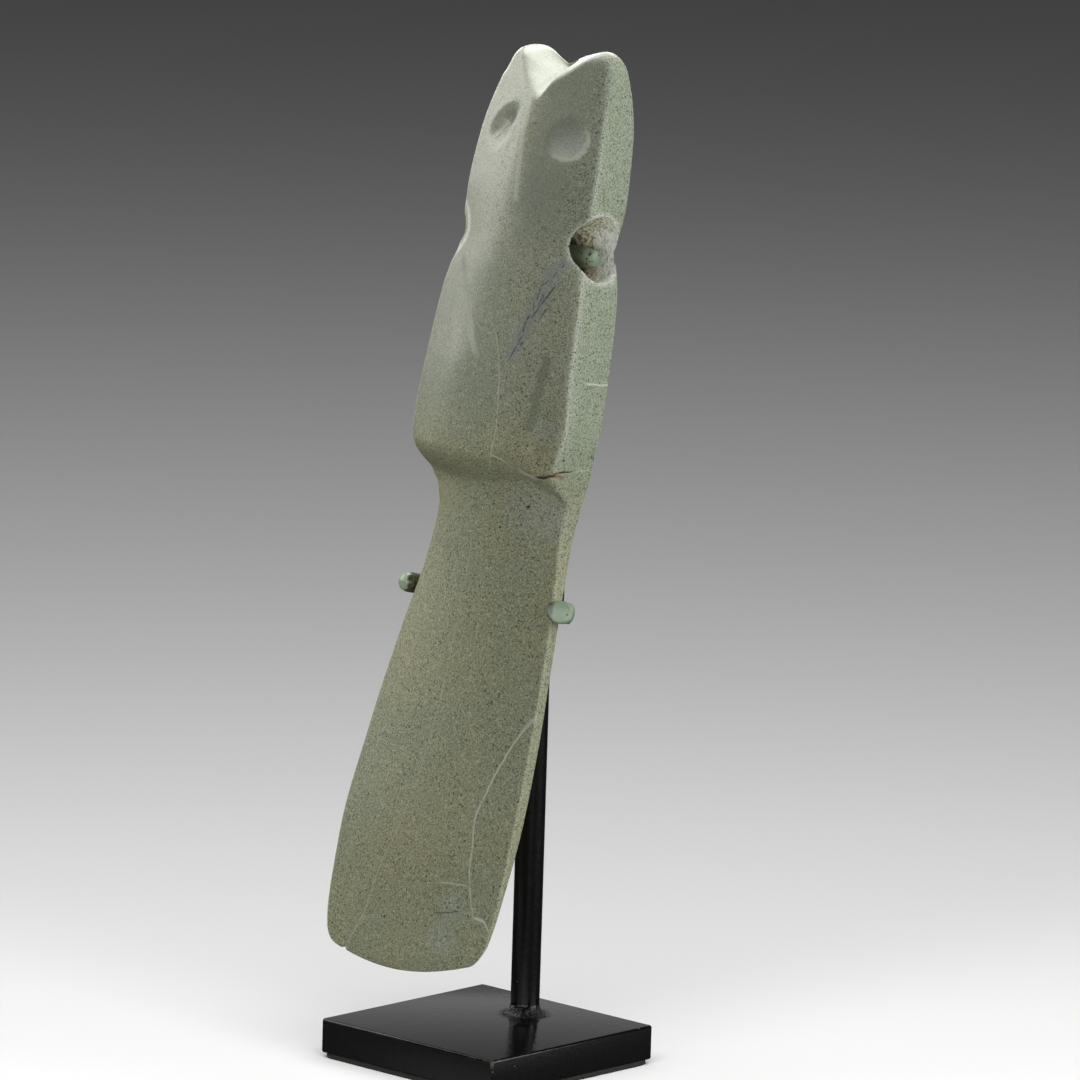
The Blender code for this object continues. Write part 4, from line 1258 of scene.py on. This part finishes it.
# ---------------------------------------------------------------- the stand
def plate(look):
    low, high = BASE_LOW * MM, BASE_HIGH * MM
    bm = bmesh.new()
    bmesh.ops.create_cube(bm, size=1.0)
    size = high - low
    middle = (high + low) / 2
    for vert in bm.verts:
        vert.co = vert.co * size + middle
    bevel(bm, bm.edges[:], PLATE_BEVEL)
    obj = from_bmesh("painted_plate", bm, look)
    smooth_shaded(obj, 30)
    return obj


def pad(look):
    """Felt with a fuzzy, uneven rim, glued to the plate."""
    reach = BASE_HIGH.x - PAD_MARGIN
    rings = []
    for level, inset in PAD_RIM:
        ring = []
        for c, s in turns(PAD_SIDES, 0.5):
            square = (abs(c) ** PAD_POWER + abs(s) ** PAD_POWER) ** (-1 / PAD_POWER)
            spot = Vector((c * 9, s * 9, level * 2))
            r = reach * square - inset + PAD_FUZZ * noise.fractal(spot * 1.5, 1.0, 2.0, 4)
            ring.append(Vector((r * c, r * s, level)) * MM)
        rings.append(ring)
    obj = loft("felt_pad", rings, (look,))
    smooth_shaded(obj, 60)
    return obj


def post(look):
    """Round post with a lumpy weld bead at its foot and a rounded top."""
    top = POST_TOP - POST_ROUND
    weld = [i / WELD_RINGS for i in range(1, WELD_RINGS + 1)]
    # level, swell of the weld (or, below 0, taper of the rounded top)
    profile = [(STAND_TOP - 0.05, 1.0), (STAND_TOP + 0.12, 1.0)]
    profile += [(STAND_TOP + WELD_HEIGHT * f ** 1.3, 1 - f) for f in weld]
    profile += [(z, 0.0) for z in np.linspace(STAND_TOP + WELD_HEIGHT + 1, top, POST_RINGS)]
    profile += [(top + POST_ROUND * math.sin(a), math.cos(a) - 1) for a in np.linspace(*POST_TURN)]
    rings = []
    for level, bead in profile:
        ring = []
        for c, s in turns(POST_SIDES):
            if bead >= 0:
                lump = noise.noise(Vector((c * 2.2, s * 2.2, level * 0.5)))
                r = POST_RADIUS + WELD_REACH * bead ** 2.2 * (0.9 + 0.6 * lump)
            else:
                r = POST_RADIUS * (1 + bead * 0.45)
            ring.append(Vector((r * c, POST_BACK + r * s, level)) * MM)
        rings.append(ring)
    obj = loft("welded_post", rings, (look,))
    smooth_shaded(obj, 40)
    return obj


def rounded_route(corners, radius, steps=10):
    """Points along a bent wire: straight runs joined by arcs of one radius."""
    points = [corners[0]]
    for before, corner, after in zip(corners, corners[1:], corners[2:]):
        into = (corner - before).normalized()
        out = (after - corner).normalized()
        angle = into.angle(out)
        start = corner - into * radius * math.tan(angle / 2)
        centre = start + (out - into * into.dot(out)).normalized() * radius
        for i in range(steps + 1):
            turn = angle * i / steps
            spoke = (start - centre) * math.cos(turn)
            points.append(centre + spoke + into * radius * math.sin(turn))
    return points + [corners[-1]]


def resampled(points, spacing):
    """Evenly spaced points along a route."""
    lengths = [0.0]
    for a, b in zip(points, points[1:]):
        lengths.append(lengths[-1] + (b - a).length)
    count = max(int(lengths[-1] / spacing), 2)
    made = []
    i = 0
    for k in range(count + 1):
        want = lengths[-1] * k / count
        while i < len(lengths) - 2 and lengths[i + 1] < want:
            i += 1
        f = (want - lengths[i]) / max(lengths[i + 1] - lengths[i], 1e-9)
        made.append(points[i].lerp(points[i + 1], f))
    return made


def wire(name, corners, bend, look, radius_at, domes):
    """Bent wire as a tube with its own radius along the way and rounded ends.

    domes gives the height of the rounding at the first (0) and the last (1) end. The distance to
    the nearest rounded end is kept on the points, for the green paint.
    """
    points = resampled(rounded_route(corners, bend), WIRE_SPACING)
    total = sum((b - a).length for a, b in zip(points, points[1:]))
    rings = []
    marks = []
    walked = 0.0
    side = None
    for i, p in enumerate(points):
        ahead = points[min(i + 1, len(points) - 1)]
        behind = points[max(i - 1, 0)]
        if i:
            walked += (p - points[i - 1]).length
        along = (ahead - behind).normalized()
        if side is None:
            side = along.cross(Vector((0, 0, 1) if abs(along.z) < 0.9 else (1, 0, 0))).normalized()
        side = (side - along * side.dot(along)).normalized()
        other = along.cross(side)
        radius = radius_at(total - walked)
        left = {end: total - walked if end else walked for end in domes}
        for end, height in domes.items():
            if left[end] < height:
                curl = math.sqrt(max(1 - (1 - left[end] / height) ** 2, 0.0))
                radius -= min(height, radius * 0.96) * (1 - curl)
        ring = []
        for c, s in turns(WIRE_SIDES):
            off = (side * c + other * s) * radius
            ring.append((p + off * (1 + WIRE_LUMPS * noise.noise((p + off) * 0.8))) * MM)
        rings.append(ring)
        marks += [min(left.values())] * len(ring)
    obj = loft(name, rings, (look,))
    layer = obj.data.attributes.new("along", "FLOAT", "POINT")
    layer.data.foreach_set("value", marks)
    smooth_shaded(obj, 60)
    return obj


CLAW_EDGE = float(blade_side(CLAW_V))
CLAW_BESIDE = float(plain_half_width(CLAW_V)) + GAP + WIRE_RADIUS
CLAW_BEHIND = float(back_edge(CLAW_V)) - GAP - WIRE_RADIUS + CLAW_TUCK


def claw_tip(side, back=0.0):
    """Centre of the end of one claw, or of its arm a little further back."""
    return world(side * CLAW_BESIDE, CLAW_V, CLAW_EDGE + CLAW_REACH[side] - back)


def claw_wire(look):
    post_front = POST_BACK - POST_RADIUS - WIRE_RADIUS + SUNK
    at_post = (world(0, CLAW_V, 0).y - post_front) / math.cos(LEAN)
    left, right = [
        [
            claw_tip(side),
            world(side * CLAW_BESIDE, CLAW_V, CLAW_BEHIND),
            world(side * ARM_HALF, CLAW_V, at_post),
        ]
        for side in (-1, 1)
    ]

    def radius(left_over):
        return WIRE_RADIUS + CLAW_SWELL * float(smooth(*CLAW_SWELL_FROM, left_over))

    obj = wire("claw_wire_painted", left + right[::-1], CLAW_BEND, look, radius, CLAW_DOMES)
    file_bends(obj)
    slant = math.radians(CLAW_SLANT)
    inner = claw_tip(1, CLAW_CUT) - Vector((WIRE_RADIUS, 0, 0))
    cut_flat(obj, inner, direction(math.sin(slant), 0, math.cos(slant)))
    smooth_shaded(obj, 60)
    return obj


def cut_flat(obj, place, facing):
    """Cuts off what lies beyond a plane and softens the rim of the cut."""
    bm = bmesh.new()
    bm.from_mesh(obj.data)
    plane = {"plane_co": place * MM, "plane_no": facing, "clear_outer": True}
    cut = bmesh.ops.bisect_plane(bm, geom=bm.verts[:] + bm.edges[:] + bm.faces[:], **plane)
    rim = [e for e in cut["geom_cut"] if isinstance(e, bmesh.types.BMEdge)]
    bmesh.ops.edgeloop_fill(bm, edges=rim)
    bevel(bm, rim, CLAW_RIM)
    bmesh.ops.recalc_face_normals(bm, faces=bm.faces)
    bm.to_mesh(obj.data)
    bm.free()


def file_bends(obj):
    """Presses the outside of each bend nearly flat, as if filed, with a soft edge."""
    upward = direction(0, 1, 0)
    limit = WIRE_RADIUS - CLAW_FILED - (math.sqrt(2) - 1) * CLAW_BEND
    for side in (-1, 1):
        outward = (Vector((side, 0, 0)) + direction(0, 0, -1)).normalized()
        corner = world(side * CLAW_BESIDE, CLAW_V, CLAW_BEHIND)
        for vert in obj.data.vertices:
            p = vert.co / MM
            over = (p - corner).dot(outward) - limit + CLAW_CROWN * (p - corner).dot(upward) ** 2
            if over > -FILED_SOFT:
                pressed = -FILED_SOFT * math.exp(-(over + FILED_SOFT) / FILED_SOFT)
                vert.co = (p + outward * (pressed - over)) * MM


def peg_wire(look):
    peg = world(0, PEG_V, 0)
    up = POST_BACK + POST_RADIUS + WIRE_RADIUS - SUNK
    corners = [
        Vector((0, up, STAND_TOP + PEG_WIRE_LOW)),
        Vector((0, up, STAND_TOP + PEG_WIRE_LEAN_FROM)),
        Vector((0, PEG_BEHIND, peg.z)),
        Vector((-PEG_SIDE, PEG_BEHIND, peg.z)),
        Vector((-PEG_SIDE, peg.y, peg.z)),
        Vector((PEG_END, peg.y, peg.z)),
    ]

    def radius(left_over):
        return blend(WIRE_RADIUS, PEG_END_RADIUS, float(smooth(PEG_TAPER, 0.0, left_over)))

    return wire("peg_wire_painted", corners, PEG_BEND, look, radius, {1: PEG_TIP})


def solder(look):
    """Beads of solder where the wires meet the post."""
    front_y = POST_BACK - POST_RADIUS - 0.2
    rear_y = POST_BACK + POST_RADIUS + 0.3
    # place and radii
    beads = (
        ((0, front_y, world(0, CLAW_V, 0).z - 0.6), (1.6, 0.9, 1.7)),
        ((0, rear_y, STAND_TOP + PEG_WIRE_LOW + 4), (1.7, 1.2, 4.5)),
        ((0, rear_y, STAND_TOP + 88), (1.7, 1.2, 4.0)),
    )
    bm = bmesh.new()
    for centre, radii in beads:
        centre = Vector(centre)
        for vert in bmesh.ops.create_icosphere(bm, subdivisions=4, radius=1.0)["verts"]:
            vert.co *= 1 + 0.18 * noise.noise(vert.co * 1.6 + centre)
            vert.co = (centre + vert.co * Vector(radii)) * MM
    obj = from_bmesh("solder_beads", bm, look)
    smooth_shaded(obj, 60)
    return obj


def stand():
    black = black_paint()
    tipped = wire_paint()
    felted = felt()
    plate_obj = plate(black)
    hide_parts("stand_base")
    pad_obj = pad(felted)
    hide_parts("base_pad")
    post_obj = post(black)
    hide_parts("stand_post")
    claw = claw_wire(tipped)
    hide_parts("claw_wire")
    peg = peg_wire(tipped)
    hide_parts("peg_wire")
    beads = solder(black)
    slots = {
        plate_obj: "black_paint", pad_obj: "felt", post_obj: "black_paint",
        claw: "green_paint", peg: "green_paint", beads: "black_paint",
    }
    for obj, name in slots.items():
        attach(obj, "root")


# ---------------------------------------------------------------- floor, light, camera
VIEW_BEARING = 42.7054
VIEW_AZIMUTH = math.radians(VIEW_BEARING)
VIEW_PITCH = math.radians(10.0936)
VIEW_ROLL = math.radians(-1.7647)
VIEW_PLACE = Vector((864.2, -927.3, 305.45))   # from the middle of the stand's top face
VIEW_LENS, VIEW_SENSOR = 266.67, 36.0
VIEW_CLIP = (0.05, 50.0)
SIDEWAYS = Vector((math.cos(VIEW_AZIMUTH), math.sin(VIEW_AZIMUTH), 0))   # to the camera's right
BEHIND = VIEW_BEARING + 180
AIM = Vector((0, 0, 85.0))
FLOOR_REACH = 6000
FLOOR_GREY = ((0.90,) * 3, (0.92,) * 3)
WORLD_STRENGTH = 0.033
JADE = ("carved_jade",)
PLATE_TO_POST = ("painted_plate", "felt_pad", "welded_post")
WIRES = ("claw_wire_painted", "peg_wire_painted", "solder_beads")
ALL = JADE + PLATE_TO_POST + WIRES
# name, bearing, elevation, distance in metres, size in metres, power, shift to the right
FLOOR_LIGHTS = (
    ("floor_near", BEHIND, 89, 0.2, (1.0, 0.2), 0.52, 60),
    ("floor_middle", BEHIND, 89, 0.36, (1.6, 0.2), 0.33, 60),
    ("floor_wide", BEHIND, 89, 1.1, (1.6, 0.3), 3.2, 60),
    ("floor_front", VIEW_BEARING, 45, 0.4, (0.6, 0.2), 2.85, 30),
    ("floor_rear", BEHIND, 60, 0.8, (1.6, 0.3), 1.84, 60),
)
# name, bearing, elevation, distance in metres, size in metres, power, pieces that it lights
LIGHTS = (
    ("overhead_rear", BEHIND, 70, 0.38, (0.25, 0.2), 1.4, ALL),
    ("left", -65, 28, 0.6, (0.3, 0.5), 1.8, ALL),
    ("left_rear", -90, 25, 0.6, (0.3, 0.5), 0.5, ALL),
    ("right", 118, 22, 0.6, (0.3, 0.5), 2.55, ALL),
    ("front", 0, 5, 0.9, (0.8, 0.3), 0.6, ALL),
    ("front_low", VIEW_BEARING, 3, 0.9, (0.8, 0.3), 2.6, ALL),
    ("below_left", -20, -40, 0.6, (0.5, 0.5), 0.52, ALL),
    ("rear", BEHIND, 16, 1.0, (1.2, 0.35), 7.0, JADE),
    ("rear_wires", BEHIND, 16, 1.0, (1.2, 0.35), 0.8, WIRES),
    ("rear_plate", BEHIND, 16, 1.0, (2.4, 0.7), 1.75, PLATE_TO_POST),
    ("right_stand", 112, 2, 0.9, (0.9, 0.3), 1.5, PLATE_TO_POST),
    ("below_right", 92, -32, 0.6, (0.4, 0.4), 0.45, JADE),
    ("front_stand", 10, 5, 0.9, (0.8, 0.3), 1.2, PLATE_TO_POST + WIRES),
)


def bearing(azimuth, elevation):
    """Unit vector towards a place round the object; azimuth and elevation in radians."""
    level = math.cos(elevation)
    return Vector((math.sin(azimuth) * level, -math.cos(azimuth) * level, math.sin(elevation)))


def camera():
    bpy.context.scene.view_settings.view_transform = "Standard"
    data = bpy.data.cameras.new("camera")
    data.lens, data.sensor_width = VIEW_LENS, VIEW_SENSOR
    data.clip_start, data.clip_end = VIEW_CLIP
    obj = link(bpy.data.objects.new("camera", data))
    back = bearing(VIEW_AZIMUTH, VIEW_PITCH)
    level = Matrix((SIDEWAYS, back.cross(SIDEWAYS), back)).transposed()
    turn = level @ Matrix.Rotation(-VIEW_ROLL, 3, "Z")
    place = (VIEW_PLACE + Vector((0, 0, STAND_TOP))) * MM
    obj.matrix_world = Matrix.Translation(place) @ turn.to_4x4()
    bpy.context.scene.camera = obj


def area(name, azimuth, elevation, distance, size, power, lit, across=0.0):
    """Soft light at a bearing round the object, aimed at its middle; lights only some objects."""
    data = bpy.data.lights.new(name, "AREA")
    data.shape = "RECTANGLE"
    data.size, data.size_y = size
    data.energy = power
    obj = link(bpy.data.objects.new(name, data))
    towards = bearing(math.radians(azimuth), math.radians(elevation))
    obj.location = (AIM + SIDEWAYS * across) * MM + towards * distance
    obj.rotation_euler = towards.to_track_quat("Z", "Y").to_euler()
    obj.visible_camera = False
    receivers = bpy.data.collections.new(name + "_lights")
    for one in lit:
        receivers.objects.link(bpy.data.objects[one])
    obj.light_linking.receiver_collection = receivers
    if elevation < 0:
        # the floor would shade it
        obj.light_linking.blocker_collection = receivers


def surroundings():
    n = Nodes("pale_floor")
    n.colour = n.mix(n.noise(n.place, 0.02), *FLOOR_GREY)
    look = n.finish(0.22)
    signs = ((-1, -1), (1, -1), (1, 1), (-1, 1))
    corners = [Vector((x, y, 0)) * FLOOR_REACH * MM for x, y in signs]
    floor = new_object("floor", corners, [(0, 1, 2, 3)], (look,))
    floor.visible_diffuse = False
    floor.visible_glossy = False
    studio = bpy.data.worlds.new("studio")
    bpy.context.scene.world = studio
    studio.use_nodes = True
    background = studio.node_tree.nodes["Background"]
    background.inputs["Color"].default_value = (1, 1, 1, 1)
    background.inputs["Strength"].default_value = WORLD_STRENGTH


def lights():
    for *where, across in FLOOR_LIGHTS:
        area(*where, ("floor",), across)
    for *where, lit in LIGHTS:
        area(*where, lit)


def main():
    carved_jade()
    stand()
    surroundings()
    lights()
    camera()
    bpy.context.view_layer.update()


main()
